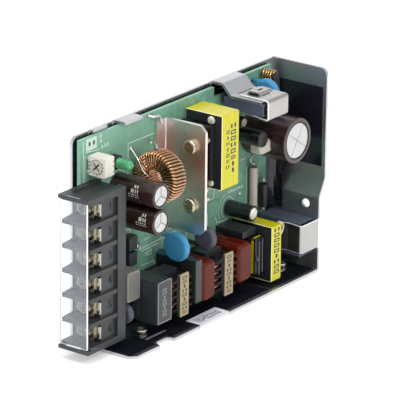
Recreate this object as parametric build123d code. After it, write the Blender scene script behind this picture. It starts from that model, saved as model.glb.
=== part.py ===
from build123d import *
import math
import os

# Open-frame power converter. Millimetres, +Z up, standing on its bottom plate.
# X runs along the length from the terminal end, and the parts stand on the board towards -Y.

# Chassis, one folded sheet
height = 82.0
width = 27.4
length = 124.3
sheet = 1.2
bend = 0.6
base_inset = 2.8
joggle = 3.6
joggle_low = 30.5
joggle_high = 37.5
seam = 0.25
plate_corner = 3.2
base_corner = 2.2
edge_drop = 0.7

# Hold-down tabs along the top of the back plate
tab_small = (9.8, 18.0)
tab_small_reach = 3.2
tab_hook = (24.0, 34.4)
tab_hook_reach = 6.8
tab_wide = (84.0, 98.5)
tab_wide_flat = 6.8
tab_wide_slope = 4.0
tab_wide_drop = 4.2
tab_wide_reach = 24.6
tab_slit = 0.8
tab_slit_depth = 3.0

# Fixing features of the chassis
nut_x = (24.0, 113.0)
nut_y = -14.6
nut_body = 4.6
nut_rise = 1.9
nut_step = 0.6
thread = 2.5
end_hole = 3.4
end_hole_y = -21.3
end_hole_z = 27.3
edge_notch = (19.0, 27.5)
edge_notch_depth = 3.0
edge_slot = (19.7, 31.8)
edge_slot_y = -19.5
edge_slot_width = 1.0

# Board and films
board_gap = 1.8
board_thickness = 1.6
board_inset = 0.4
board_low = 2.8
board_top = height - sheet - 0.2
board_end_clear = 5.7
board_step = 2.6
board_step_height = 44.0
board_notch_depth = 4.2
board_notch_side = (2.6, 0.8)
film = 0.3
film_clear = 0.05
film_edge = 1.5
film_flap_reach = 10.0
film_flap_height = 21.0
end_film_y = (-5.5, -25.9)
end_film_z = (joggle_high + 4.8, height - 7.8)
label_x = (43.2, 61.4)
label_depth = 6.6
label_thickness = 0.1
spacer_radius = 2.6
spacer_shank = 1.9
screw_radius = 1.25
screw_clear = 0.2
head_radius = 2.6
head_height = 1.6

# Terminal strip
poles = 6
pitch = 9.5
strip_depth = 22.1
strip_width = 13.9
strip_behind = 9.5
strip_low = 4.6
strip_wall = 1.25
strip_lip = 1.4
strip_base = 4.6
strip_body = 12.8
fin_reach = 20.2
fin_thickness = 1.7
fin_step = 0.3
gusset_thickness = 1.2
gusset_reach = 6.4
gusset_low = 2.9
gusset_high = 0.5
channel_inset = 4.6
channel_depth = 0.8
terminal_y = -11.6
pocket_depth = 6.4
panel_recess = 1.3
cover_thickness = 0.8
cover_gap = 0.3
cover_edge = 1.3
cover_tab = (-7.6, -14.2)
plate_thickness = 0.9
plate_reach = 4.5
plate_height = 4.8
washer_side = 7.0
washer_thickness = 0.8
terminal_head = 3.1
terminal_head_height = 2.2
terminal_screw = 1.7

# Trimmer and lamp, above the terminal strip
trimmer_x = 4.2
trimmer_size = (5.3, 7.9, 7.4)
trimmer_above_strip = 2.8
trimmer_stand = 0.5
dial_radius = 2.6
dial_proud = 0.3
dial_depth = 1.6
dial_clear = 0.05
dial_rest = 45.0
lamp_x = 18.2
lamp_above_strip = 4.2
lamp_radius = 1.75
lamp_flange = 2.1
lamp_length = 6.6
holder_height = 3.6
holder_side = 4.6

# Output capacitors and toroid choke
output_radius = 4.95
output_length = 20.4
output_x = 22.0
output_gap = 0.35
output_below_strip = 1.1
sleeve = 0.3
sleeve_foot = 0.4
sleeve_opening = 0.8
groove_height = 2.4
groove_depth = 0.35
vent_depth = 0.15
vent_width = 0.45
toroid_x = 34.6
toroid_z = board_top - 20.6
toroid_inner = 5.0
toroid_outer = 8.9
toroid_thickness = 6.2
wire = 0.84
turns = 30
turn_step = 11.0
wire_clear = 0.03
toroid_lift = 0.25
coil_start = 106.0
tail_left = (toroid_x - 4.2, toroid_z + 9.6)
tail_right = (toroid_x + 8.4, toroid_z + 9.2)

# Heatsink with two rectifiers
sink_x = 49.9
sink_sheet = 1.3
sink_top = board_top - 3.6
sink_height = 43.0
sink_reach = 24.1
sink_chamfer = 2.4
sink_foot = 6.8
sink_foot_height = 26.0
sink_screw_reach = 17.7
sink_screw_z = (sink_top - 8.8, sink_top - 31.9)
sink_screw_radius = 1.45
sink_screw_length = 9.6
package_size = (4.4, 15.4, 10.0)
package_body = 9.0
tab_metal = 1.3
package_lift = 1.3
lead_radius = 0.4

# Transformers
main_x = 63.0
main_core = (10.6, 16.6, 28.8)
main_top = board_top - 3.6
main_winding_proud = 2.3
driver_x = 92.9
driver_core = (6.2, 18.9, 21.8)
driver_low = 3.2
driver_winding_proud = 5.4
tape = 0.3
transformer_lift = 0.3
core_leg = 3.6
core_back = 0.19
bobbin_wall = 0.8
adhesive_y = -17.1
adhesive_z = (main_top - 2.1, main_top - 26.8)
dot_radius = (1.6, 1.4)
bead_low = 9.0
bead_high = 14.6
bead_below = 3.6
bead_above = 1.0
bead_past = 1.5
bead_short = 2.0

# Primary side round parts
bulk_radius = 9.0
bulk_length = 20.9
bulk_from_end = 17.3
bulk_z = board_top - 23.7
bias_radius = 3.2
bias_length = 14.4
bias_x = 93.7
bias_z = bulk_z + 2.7
supply_radius = 3.1
supply_length = 12.2
supply_x = 91.4
supply_z = 29.7
bypass_radius = 2.2
bypass_length = 8.6
bypass_x = 89.4
bypass_z = board_top - 14.4
tube_x = 105.1
tube_radius = 1.6
tube_low = bulk_z - 30.0
tube_length = 15.8
diode_x = 111.7
diode_radius = 1.75
diode_above_bridge = 2.7
diode_length = 9.4
part_lift = 0.25
coil_x = 112.4
coil_z = board_top - 2.2
coil_radius = 2.35
coil_length = 5.6
coil_wire = 0.7
coil_turns = 5

# Clipped power devices
clip_sheet = 0.7
switch_inset = 0.7
switch_width = 13.1
switch_thickness = 4.7
switch_reach = (6.6, 25.2)
boot_wall = 0.7
clip_width = 12.9
clip_end = 26.9
clip_arm_start = 13.0
clip_slots = (15.4, 20.2)
clip_slot = (5.2, 1.5)
clip_toe = (1.9, 5.4)
clip_lip = (2.0, 1.2)
bridge_low = 8.2
bridge_height = 13.9
bridge_thickness = 9.0
bridge_reach = (5.6, 25.0)
bridge_arm_start = 16.6
bridge_clip_height = 11.4
bridge_clip_inset = 0.5
device_lead = 0.5

# Lower row, from the terminal end
row_gap = 0.4
line_x = 19.7
line_size = (8.8, 20.8, 16.5)
line_low = 8.0
tan_size = (7.8, 13.2, 11.6)
tan_gap = 0.5
tan_low = 17.4
surge_radius = 4.0
surge_thickness = 3.0
surge_x = 13.8
surge_z = 12.3
surge_y = -14.6
choke_size = (14.2, 18.6, 16.4)
choke_gap = 2.6
choke_low = 5.8
choke_label = 5.2
choke_label_shift = 0.9
choke_label_return = 0.6
choke_winding = 6.8
choke_leg = (3.0, 6.0)
choke_yoke = 2.2
choke_flange = 0.8
choke_sections = 4
filter_size = (3.9, 18.6, 16.8)
filter_low = 8.2
filter_gap = 0.8
film_a_size = (8.2, 18.2, 15.6)
film_b_size = (9.2, 17.6, 15.8)
film_a_low = 7.2
film_b_low = 7.0
flat_size = (8.8, 12.9, 2.7)
flat_low = 21.7
flat_gap = 0.6

# Upper and middle disc parts
disc_radius = 5.7
disc_thickness = 3.0
disc_lower = (44.1, 29.8)
disc_upper = (105.6, board_top - 7.0)
disc_lift = 5.3
disc_upper_lift = 1.6
inrush_radius = 4.7
inrush_thickness = 3.0
inrush_x = 62.0
inrush_z = 28.2
inrush_lift = 6.5
coupler_size = (4.8, 3.6, 5.4)
coupler_x = 24.2
coupler_low = 25.6
coupler_gap = 0.9

# Places that follow from the sizes
board_back = -sheet - board_gap
board_face = board_back - board_thickness
board_end = length - board_end_clear
end_inner = length - sheet
low_inner = end_inner - joggle
strip_front = strip_behind - strip_depth
strip_height = poles * pitch + 2 * strip_wall
strip_top = strip_low + strip_height
strip_face = board_face - strip_width
strip_mid = strip_low + strip_height / 2
pole_z = [strip_mid + pitch * (n - (poles - 1) / 2) for n in range(poles)]
body_front = strip_behind - strip_body
cover_x = strip_behind - fin_reach - cover_gap - cover_thickness
output_top_z = strip_top - output_below_strip
diode_low = bridge_low + bridge_height + diode_above_bridge
bridge_clip_low = bridge_low + bridge_height - bridge_clip_inset - bridge_clip_height
main_low = main_top - main_core[2]
spacer_places = ((15.5, 36.0), (16.4, 6.2), (68.0, main_low - 9.7))
origin = ((strip_front + length) / 2, -(width + label_thickness) / 2, 0)


def box(x, y, z):
    """Block between two values on each axis."""
    centre = [(a + b) / 2 for a, b in (x, y, z)]
    size = [abs(b - a) for a, b in (x, y, z)]
    return Pos(*centre) * Box(*size)


def rod(axis, radius, ends, place):
    """Round bar along an axis, between two values on it, at the other two coordinates."""
    near, far = min(ends), max(ends)
    at, turn = {
        "x": ((near, place[0], place[1]), (1, 0, 0)),
        "y": ((place[0], near, place[1]), (0, 1, 0)),
        "z": ((place[0], place[1], near), (0, 0, 1)),
    }[axis]
    start = Plane(origin=at, z_dir=turn).location
    return start * Cylinder(radius, far - near, align=(Align.CENTER, Align.CENTER, Align.MIN))


def rounded(shape, axis, radius):
    """Fillet the edges that run along an axis."""
    return fillet(shape.edges().filter_by(axis), radius)


def folded(plane, points, thickness, radius, depth, side=Side.RIGHT):
    """Sheet whose outer side follows the points, with round bends, drawn out from a plane."""
    path = FilletPolyline(*points, radius=radius)
    outline = offset(path, amount=thickness, side=side)
    return extrude(plane * make_face(outline), amount=depth)


def tube_path(points, radius, bends):
    """Wire of a round section along straight runs and arcs."""
    path = FilletPolyline(*points, radius=bends)
    start = path @ 0
    section = Plane(origin=start, z_dir=path % 0) * Circle(radius)
    return sweep(section, path=path)


def chassis():
    """Back plate, bottom plate, end plate and hold-down tabs."""
    bend_outer = bend + sheet
    back_points = ((0, height - edge_drop), (0, 0), (-width, 0))
    body = folded(Plane.YZ, back_points, sheet, bend_outer, length)
    body -= box((-1, base_inset), (-sheet - bend, -width - 1), (-1, sheet + bend))
    body -= box((length - joggle - bend_outer, length + 1), (-sheet - bend, -width - 1), (-1, sheet + bend))
    end_points = (
        (length - joggle - 3 * bend_outer, 0),
        (length - joggle, 0),
        (length - joggle, joggle_low),
        (length, joggle_high),
        (length, height),
    )
    end = folded(Plane.XZ, end_points, sheet, bend_outer, width, Side.LEFT)
    end -= box((0, length + 1), (1, -sheet - seam), (sheet + bend, height + 1))
    end -= box((length - joggle - bend_outer, length + 1), (1, -sheet - bend_outer), (-1, sheet + bend))
    end = fillet(end.edges().filter_by(Axis.X).sort_by(Axis.Z)[-2:].sort_by(Axis.Y)[0], plate_corner)
    end -= box(
        (low_inner - 1, length), (-clip_end + clip_sheet + 0.8, -width - 1),
        (bridge_clip_low - 0.4, bridge_clip_low + bridge_clip_height + 0.4),
    )
    body += end
    for span, points in (
        (tab_small, ((0, height - 3 * bend_outer), (0, height), (-tab_small_reach, height))),
        (tab_hook, ((0, height - 3 * bend_outer), (0, height), (-tab_hook_reach, height))),
        (tab_wide, wide_tab_points()),
    ):
        tab = folded(Plane.YZ.offset(span[0]), points, sheet, bend_outer, span[1] - span[0], Side.LEFT)
        body += tab
        for edge in (span[0] - tab_slit, span[1]):
            body -= box((edge, edge + tab_slit), (1, -sheet - 1), (height - tab_slit_depth, height + 1))
    front_top = body.edges().filter_by(Axis.Y).group_by(Axis.X)[0].sort_by(Axis.Z)[-1]
    body = fillet(front_top, plate_corner)
    base_edge = body.edges().filter_by(Axis.Z).sort_by(Axis.Y)[:4].sort_by(Axis.X)[0]
    body = chamfer(base_edge, base_corner)
    return body - fixing_holes()


def wide_tab_points():
    """Outer side of the wide tab, from the back plate over the board to its end."""
    low = height - tab_wide_drop
    return (
        (0, height - 8 * sheet),
        (0, height),
        (-tab_wide_flat, height),
        (-tab_wide_flat - tab_wide_slope, low),
        (-tab_wide_reach, low),
    )


def fixing_holes():
    """Everything that is cut through the chassis after folding."""
    holes = [rod("z", nut_body / 2 - nut_step, (-1, sheet + 1), (x, nut_y)) for x in nut_x]
    holes.append(rod("x", end_hole / 2, (low_inner - 1, length), (end_hole_y, end_hole_z)))
    notch = box(edge_notch, (-width - 1, -width + edge_notch_depth), (-1, sheet + 1))
    notch = fillet(notch.edges().filter_by(Axis.Z).sort_by(Axis.Y)[-2:], edge_notch_depth * 0.8)
    holes.append(notch)
    slot_y = (edge_slot_y, edge_slot_y - edge_slot_width)
    holes.append(box(edge_slot, slot_y, (-1, sheet + 1)))
    holes.extend(rod("y", spacer_shank, (1, -sheet - 1), place) for place in spacer_places)
    return Compound(holes)


def board():
    """Circuit board with its stepped end and the notch under the wide tab."""
    plate = box((board_inset, board_end), (board_back, board_face), (board_low, board_top))
    plate -= box((board_end - board_step, board_end + 1), (0, -width), (0, board_step_height))
    notch = (tab_wide[0] - board_notch_side[0], tab_wide[1] + board_notch_side[1])
    plate -= box(notch, (0, -width), (board_top - board_notch_depth, height))
    for place in spacer_places:
        plate -= rod("y", screw_radius + screw_clear, (0, -width), place)
    return plate


def insulating_film():
    """One folded film: behind the board, over the bottom plate and up beside the end plate."""
    inner = -sheet - film_clear
    low = sheet + film_clear
    end = low_inner - film_clear
    start = board_inset + 0.3
    points = ((inner, board_top - 0.3), (inner, low), (-width + film_edge, low))
    sheet_of_film = folded(Plane.YZ.offset(start), points, film, bend, end - start)
    corner = (base_inset + 0.8, low_inner - bend - film_clear)
    for edge in ((0, corner[0]), (corner[1], length)):
        sheet_of_film -= box(edge, (inner - film, -width), (0, low + bend))
        sheet_of_film -= box(edge, (0, -width), (0, low + bend + film))
    flap_z = (board_step_height - film_flap_height, board_step_height)
    sheet_of_film += box((end - film, end), (inner, -film_flap_reach), flap_z)
    for place in spacer_places:
        sheet_of_film -= rod("y", spacer_radius + 0.3, (0, -4), place)
    for x in nut_x:
        sheet_of_film -= rod("z", nut_body / 2 + 0.3, (0, 3), (x, nut_y))
    notch_x = (edge_notch[0] - 0.6, edge_notch[1] + 0.6)
    sheet_of_film -= box(notch_x, (-width, -width + edge_notch_depth + 0.8), (0, 3))
    slot_x = (edge_slot[0] - 0.4, edge_slot[1] + 0.4)
    sheet_of_film -= box(slot_x, (edge_slot_y + 0.4, edge_slot_y - edge_slot_width - 0.4), (0, 3))
    return sheet_of_film


def edge_label():
    """Bare label folded over the free edge of the bottom plate."""
    top = sheet + film_clear + film
    label = box(label_x, (-width + label_depth, -width - label_thickness), (top, top + label_thickness))
    return label + box(label_x, (-width, -width - label_thickness), (0.1, top + label_thickness))


def board_spacers():
    """Clinched studs that carry the board."""
    studs = []
    for place in spacer_places:
        stud = rod("y", spacer_radius, (-sheet, board_back), place)
        stud += rod("y", spacer_shank, (-0.1, -sheet), place)
        studs.append(stud - rod("y", screw_radius, (1, -width), place))
    return studs


def cross_slot(axis, depth, span, slot, place):
    """Two crossed slots along an axis."""
    u, v = place
    arms = []
    for du, dv in ((span / 2, slot / 2), (slot / 2, span / 2)):
        sides = [(u - du, u + du), (v - dv, v + dv)]
        sides.insert("xyz".index(axis), depth)
        arms.append(box(*sides))
    return arms[0] + arms[1]


def pan_screw(axis, seat, head_end, tip, head, shank, place):
    """Pan head screw with a cross recess: seat under the head, then its top, then the tip."""
    along = Axis((0, 0, 0), [float(letter == axis) for letter in "xyz"])
    screw = rod(axis, head, (seat, head_end), place)
    rims = screw.edges().filter_by(GeomType.CIRCLE).sort_by(along)
    outward = math.copysign(1, head_end - seat)
    screw = fillet(rims[-1] if outward > 0 else rims[0], abs(head_end - seat) * 0.45)
    recess = cross_slot(axis, (head_end - 0.9 * outward, head_end + outward), head * 1.15, 0.6, place)
    return screw - recess + rod(axis, shank, (seat, tip), place)


def board_screws():
    """Screws that hold the board on its spacers."""
    ends = (board_face, board_face - head_height, -sheet + 0.1)
    return [pan_screw("y", *ends, head_radius, screw_radius, place) for place in spacer_places]


def clinch_nuts():
    """Tapped nuts pressed into the bottom plate for fixing the converter."""
    nuts = []
    for x in nut_x:
        nut = rod("z", nut_body / 2, (sheet, sheet + nut_rise), (x, nut_y))
        nut += rod("z", nut_body / 2 - nut_step, (0, sheet), (x, nut_y))
        nuts.append(nut - rod("z", thread / 2, (-1, height), (x, nut_y)))
    return nuts


def terminal_strip():
    """Moulded body with its base, fins, end walls and slots for the cover."""
    deep = (board_face, strip_face)
    body = box((strip_behind - strip_base, strip_behind), deep, (strip_low, strip_top))
    body += box((body_front, strip_behind), (board_face, strip_face + panel_recess), (strip_low, strip_top))
    wall_front = cover_x + cover_thickness + 0.1
    for edge, way in ((strip_low, 1), (strip_top, -1)):
        body += box((strip_front, strip_behind), deep, (edge, edge + way * strip_lip))
        body += box((wall_front, strip_behind), deep, (edge, edge + way * 2 * strip_wall))
    fin_back = board_face - fin_step
    for z in [strip_mid + pitch * (n - poles / 2) for n in range(1, poles)]:
        low, high = z - fin_thickness / 2, z + fin_thickness / 2
        body += box((strip_behind - fin_reach, strip_behind), (fin_back, strip_face + 0.3), (low, high))
        for edge, rise in ((low, -gusset_low), (high, gusset_high)):
            corners = ((body_front - gusset_reach, edge), (body_front, edge), (body_front, edge + rise))
            web = make_face(Polyline(*corners, close=True))
            body += extrude(Plane.XZ.offset(-fin_back) * web, amount=gusset_thickness)
    channel = (strip_front + channel_inset, strip_behind + 1)
    body -= box(channel, (board_face - 2.6, strip_face + 3.2), (strip_top - channel_depth, strip_top + 1))
    slot_x = (cover_x - 0.1, wall_front)
    body -= box(slot_x, (cover_tab[0] + 0.1, cover_tab[1] - 0.1), (strip_low - 1, strip_top + 1))
    for z in pole_z:
        pocket = (body_front - 1, body_front + pocket_depth)
        body -= rod("x", terminal_screw + 0.15, pocket, (terminal_y, z))
    return body


def terminal_plates():
    """Flat metal plates under the terminal screws."""
    x = (body_front - plate_thickness, body_front)
    y = (terminal_y + plate_reach, strip_face + panel_recess)
    tall = plate_height / 2
    plates = []
    for z in pole_z:
        plate = box(x, y, (z - tall, z + tall))
        plates.append(plate - rod("x", terminal_screw + 0.1, (x[0] - 1, x[1] + 1), (terminal_y, z)))
    return plates


def terminal_washers():
    """Square captive washers."""
    x = (body_front - plate_thickness - washer_thickness, body_front - plate_thickness)
    side = washer_side / 2
    washers = []
    for z in pole_z:
        washer = rounded(box(x, (terminal_y - side, terminal_y + side), (z - side, z + side)), Axis.X, 0.8)
        washers.append(washer - rod("x", terminal_screw + 0.1, (x[0] - 1, x[1] + 1), (terminal_y, z)))
    return washers


def terminal_screws():
    """Pan head terminal screws."""
    seat = body_front - plate_thickness - washer_thickness
    ends = (seat, seat - terminal_head_height, body_front + pocket_depth - 0.4)
    return [pan_screw("x", *ends, terminal_head, terminal_screw, (terminal_y, z)) for z in pole_z]


def terminal_cover():
    """Clear cover with a tab at each end in the end walls."""
    x = (cover_x, cover_x + cover_thickness)
    inner = (strip_low + strip_lip + 0.2, strip_top - strip_lip - 0.2)
    plate = box(x, (board_face - fin_step, strip_face + cover_edge), inner)
    return plate + box(x, cover_tab, (strip_low + 0.3, strip_top - 0.3))


def trimmer():
    """Housing on its feet, and the dial that turns in it."""
    low = strip_top + trimmer_above_strip
    x = (trimmer_x, trimmer_x + trimmer_size[0])
    y = (board_face - trimmer_stand, board_face - trimmer_stand - trimmer_size[1])
    z = (low, low + trimmer_size[2])
    housing = rounded(box(x, y, z), Axis.X, 0.4)
    for foot in (z[0] + 0.6, z[1] - 1.6):
        housing += box(x, (board_face, y[0] - 0.1), (foot, foot + 1.0))
    place = ((y[0] + y[1]) / 2, (z[0] + z[1]) / 2)
    housing -= rod("x", dial_radius + dial_clear, (x[0] - 1, x[0] + dial_depth), place)
    front = x[0] - dial_proud
    dial = rod("x", dial_radius, (front, x[0] + dial_depth - dial_clear), place)
    dial -= cross_slot("x", (front - 1, front + 0.9), dial_radius * 1.5, 0.7, place)
    mark = place[1] + dial_radius * 0.8
    dial -= box((front - 1, front + 0.3), (place[0] - 0.35, place[0] + 0.35), (mark, mark + 2))
    return housing, dial.rotate(Axis((0, *place), (1, 0, 0)), dial_rest)


def lamp():
    """Holder of the indicator lamp, and its lens."""
    z = strip_top + lamp_above_strip
    half = holder_side / 2
    top = board_face - holder_height
    holder = box((lamp_x - half, lamp_x + half), (board_face, top), (z - half, z + half))
    holder = rounded(holder, Axis.Y, 0.5)
    dome = top - lamp_length + lamp_radius
    lens = rod("y", lamp_flange, (top, top - 1.0), (lamp_x, z))
    lens += rod("y", lamp_radius, (top, dome), (lamp_x, z))
    return holder, lens + Pos(lamp_x, dome, z) * Sphere(lamp_radius)


def turned(profile, x, z):
    """Solid turned about a line that stands on the board, from (radius, height) points."""
    solid = revolve(make_face(Polyline(*profile, close=True)), Axis.Y)
    return Pos(x, board_face, z) * Rot(180, 0, 0) * solid


def electrolytic(x, z, radius, length):
    """Can with a rolled groove near its foot, and the sleeve shrunk over it."""
    inner, waist = radius - sleeve, groove_depth
    low, mid, high = groove_height - waist, groove_height, groove_height + waist
    end = length - sleeve
    wall = [(inner, low), (inner - waist, mid), (inner, high)]
    can = turned([(0, 0), (inner, 0), *wall, (inner, end), (0, end)], x, z)
    vent = (board_face - end - 1, board_face - end + vent_depth)
    can -= cross_slot("y", vent, inner * 1.4, vent_width, (x, z))
    skin = [(radius, low), (radius - waist, mid), (radius, high), (radius, end), (radius - sleeve, length)]
    lip = [(radius * sleeve_opening, length), (radius * sleeve_opening, end), (inner, end)]
    return can, turned([(inner, sleeve_foot), (radius, sleeve_foot), *skin, *lip, *reversed(wall)], x, z)


def toroid():
    """Ring core and the coil wound on it, with a tail to the board at each end."""
    y = board_face - toroid_lift - toroid_outer - wire
    half = toroid_thickness / 2
    core = rod("x", toroid_outer, (toroid_x - half, toroid_x + half), (y, toroid_z))
    core -= rod("x", toroid_inner, (toroid_x - half - 1, toroid_x + half + 1), (y, toroid_z))
    core = fillet(core.edges().filter_by(GeomType.CIRCLE), 0.6)
    gap = wire / 2 + wire_clear
    near, far, side = toroid_inner - gap, toroid_outer + gap, half + gap
    loop = FilletPolyline((-side, near), (side, near), (side, far), (-side, far), radius=0.7, close=True)
    turn = sweep(Plane(origin=loop @ 0, z_dir=loop % 0) * Circle(wire / 2), path=loop)
    centre = Pos(toroid_x, y, toroid_z)
    coil = [centre * Rot(coil_start + n * turn_step, 0, 0) * turn for n in range(turns)]
    ends = tails()
    return core, [coil[0] + ends[0], coil[-1] + ends[1], *coil[1:-1]]


def tails():
    """Tinned tails of the coil, bent down to the board."""
    y = board_face - toroid_lift - toroid_outer - wire
    side = toroid_thickness / 2 + wire / 2 + wire_clear
    found = []
    for place, rise, turn, way in ((tail_left, 7.0, 0, -1), (tail_right, 4.0, turns - 1, 1)):
        angle = math.radians(coil_start + turn * turn_step)
        radius = toroid_outer - 1.0
        end = (toroid_x + way * side, y + radius * math.cos(angle), toroid_z + radius * math.sin(angle))
        foot = (place[0], board_face, place[1])
        points = [foot, (foot[0], board_face - rise, foot[2]), end]
        found.append(tube_path(points, wire / 2, 1.2))
    return found


def heatsink():
    """Bent plate that stands on the board on its foot."""
    outer = sink_x + sink_sheet
    points = ((outer - sink_foot, board_face), (outer, board_face), (outer, board_face - sink_reach + 4.6))
    low = sink_top - sink_height
    plate = Pos(0, 0, low) * folded(Plane.XY, points, sink_sheet, sink_sheet + bend, sink_height)
    plate -= box((0, sink_x), (0, -width), (low - 1, sink_top - sink_foot_height))
    far = board_face - sink_reach + 4.6
    for z, turn in ((sink_top, -1), (low, 1)):
        corner = Polyline((far, z), (far + sink_chamfer, z), (far, z + turn * sink_chamfer), close=True)
        plate -= Pos(sink_x - 1, 0, 0) * extrude(Plane.YZ * make_face(corner), amount=4)
    for z in sink_screw_z:
        plate -= rod("x", sink_screw_radius + 0.15, (sink_x - 1, outer + 1), (-sink_screw_reach, z))
    return plate


def sink_fixings():
    """Screw and nut of each rectifier."""
    outer = sink_x + sink_sheet
    fixings = []
    for z in sink_screw_z:
        place = (-sink_screw_reach, z)
        ends = (sink_x, sink_x - 1.9, sink_x + sink_screw_length)
        fixings.append(pan_screw("x", *ends, 2.8, sink_screw_radius, place))
        start = outer + tab_metal
        nut = Plane(origin=(start, *place), z_dir=(1, 0, 0)) * extrude(RegularPolygon(3.1, 6), amount=2.2)
        fixings.append(nut - rod("x", sink_screw_radius, (start - 1, start + 4), place))
    return fixings


def rectifiers():
    """Moulded bodies, metal tabs and leads of the two rectifier packages."""
    outer = sink_x + sink_sheet
    bodies, tabs = [], []
    near = board_face - package_lift
    for z in sink_screw_z:
        half = package_size[2] / 2
        tab = box((outer, outer + tab_metal), (near, near - package_size[1]), (z - half, z + half))
        tabs.append(tab - rod("x", sink_screw_radius + 0.3, (outer - 1, outer + 3), (-sink_screw_reach, z)))
        front = (outer + tab_metal, outer + package_size[0])
        bodies.append(box(front, (near, near - package_body), (z - half, z + half)))
        for dz in (-2.54, 0, 2.54):
            lead_x = outer + package_size[0] / 2 + 0.3
            tabs.append(rod("y", lead_radius, (near, board_face), (lead_x, z + dz)))
    return bodies, tabs


def transformer(x, size, low, proud):
    """Core of two halves, bobbin, winding and the tape round the core."""
    thick, deep, tall = size
    near = board_face - transformer_lift - tape
    far = near - deep
    z = (low, low + tall)
    back = deep * core_back
    core = box((x, x + thick), (near, far), z)
    middle, centre_leg = low + tall / 2, tall * 0.25 / 2
    window = (near - back, far + back)
    for span in ((z[0] + core_leg, middle - centre_leg), (middle + centre_leg, z[1] - core_leg)):
        core -= box((x - 1, x + thick + 1), window, span)
    tube = box((x - 0.8, x + thick + 0.8), window, (middle - centre_leg - 0.8, middle + centre_leg + 0.8))
    hole = box((x, x + thick), (near, far), (middle - centre_leg, middle + centre_leg))
    sides = (x - proud, x + thick + proud)
    span = (z[0] + core_leg + 0.1, z[1] - core_leg - 0.1)
    bobbin = tube
    for y in (window[0], window[1] + bobbin_wall):
        bobbin += box(sides, (y, y - bobbin_wall), span)
    for side in ((sides[0], x - 0.1), (x + thick + 0.1, sides[1])):
        bobbin += box(side, (board_face, window[0] - bobbin_wall), span)
    bobbin -= hole
    room = (window[0] - bobbin_wall, window[1] + bobbin_wall)
    winding = box((sides[0] + 0.3, sides[1] - 0.3), room, (span[0] + 0.3, span[1] - 0.3))
    winding = rounded(winding, Axis.Y, 1.2)
    winding -= box((x - 0.8, x + thick + 0.8), room, (middle - centre_leg - 0.8, middle + centre_leg + 0.8))
    wrap = box((x, x + thick), (near + tape, far - tape), (z[0] - tape, z[1] + tape))
    wrap = rounded(wrap, Axis.X, 0.5) - box((x - 1, x + thick + 1), (near, far), z)
    return core, bobbin, winding, wrap


def upper_clip():
    """Spring clip that holds the switch transistor against the wide tab."""
    top = height - tab_wide_drop + clip_sheet
    boot_low = height - tab_wide_drop - sheet - switch_thickness
    points = (
        (-clip_arm_start, top), (-clip_end, top), (-clip_end, boot_low - clip_toe[0]),
        (-clip_arm_start - clip_toe[1], boot_low - clip_sheet),
        (-clip_arm_start - clip_lip[0], boot_low - clip_sheet - clip_lip[1]),
    )
    start = tab_wide[1] - clip_width
    clip = folded(Plane.YZ.offset(start), points, clip_sheet, 1.3, clip_width, Side.LEFT)
    middle = start + clip_width / 2
    span = (middle - clip_slot[0] / 2, middle + clip_slot[0] / 2)
    for reach in clip_slots:
        clip -= box(span, (-reach, -reach - clip_slot[1]), (top - 2, top + 1))
    return clip


def lower_clip():
    """Spring clip that holds the bridge rectifier against the end plate."""
    outer = length - joggle + clip_sheet
    inner = low_inner - bridge_thickness
    points = (
        (outer, -clip_arm_start), (outer, -clip_end), (inner - 1.5, -clip_end),
        (inner - clip_sheet, -bridge_arm_start - 3.4), (inner - clip_sheet - 0.9, -bridge_arm_start),
    )
    clip = folded(Plane.XY, points, clip_sheet, 1.3, bridge_clip_height, Side.RIGHT)
    return Pos(0, 0, bridge_clip_low) * clip


def booted(x, y, z, wall, open_axis):
    """Rubber sleeve open along an axis, and the room inside it."""
    sides = [x, y, z]
    room = [(min(s) + wall, max(s) - wall) for s in sides]
    axis = "xyz".index(open_axis)
    room[axis] = (min(sides[axis]) - 1, max(sides[axis]) + 1)
    sleeve_body = rounded(box(*sides), {"x": Axis.X, "y": Axis.Y, "z": Axis.Z}[open_axis], 0.5)
    room_inside = list(room)
    room_inside[axis] = (min(sides[axis]) + 0.4, max(sides[axis]) - 0.6)
    return sleeve_body - box(*room), room_inside


def power_devices():
    """Switch transistor and bridge rectifier in their boots, with leads to the board."""
    top = height - tab_wide_drop - sheet
    x = (tab_wide[1] - switch_inset - switch_width, tab_wide[1] - switch_inset)
    y = (-switch_reach[0], -switch_reach[1])
    boot, room = booted(x, y, (top - switch_thickness, top), boot_wall, "y")
    switch = box(*room)
    for n in (-1, 0, 1):
        place = ((x[0] + x[1]) / 2 + n * 3.0, top - switch_thickness / 2)
        switch += rod("y", device_lead, (board_face, room[1][1] - 0.4), place)
    x = (low_inner - bridge_thickness, low_inner)
    y = (-bridge_reach[0], -bridge_reach[1])
    z = (bridge_low, bridge_low + bridge_height)
    boot_low, room = booted(x, y, z, boot_wall, "y")
    bridge = box(*room)
    for n in (-1.5, -0.5, 0.5, 1.5):
        place = ((x[0] + x[1]) / 2, (z[0] + z[1]) / 2 + n * 2.9)
        bridge += rod("y", device_lead, (board_face, room[1][1] - 0.4), place)
    return boot, switch, boot_low, bridge


def dipped_disc(x, z, radius, thickness, lift):
    """Dipped disc on edge with two shoulders over its leads."""
    y = board_face - lift - radius
    disc = rod("x", radius, (x - thickness / 2, x + thickness / 2), (y, z))
    disc = fillet(disc.edges().filter_by(GeomType.CIRCLE), thickness * 0.42)
    shoulder = thickness * 0.3
    for dz in (-1, 1):
        place = (x, z + dz * radius * 0.68)
        disc += rod("y", shoulder, (board_face - lift * 0.45, y), place)
    ends = (board_face, board_face - lift * 0.45)
    leads = [rod("y", 0.3, ends, (x, z + dz * radius * 0.68)) for dz in (-1, 1)]
    return disc, leads


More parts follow.
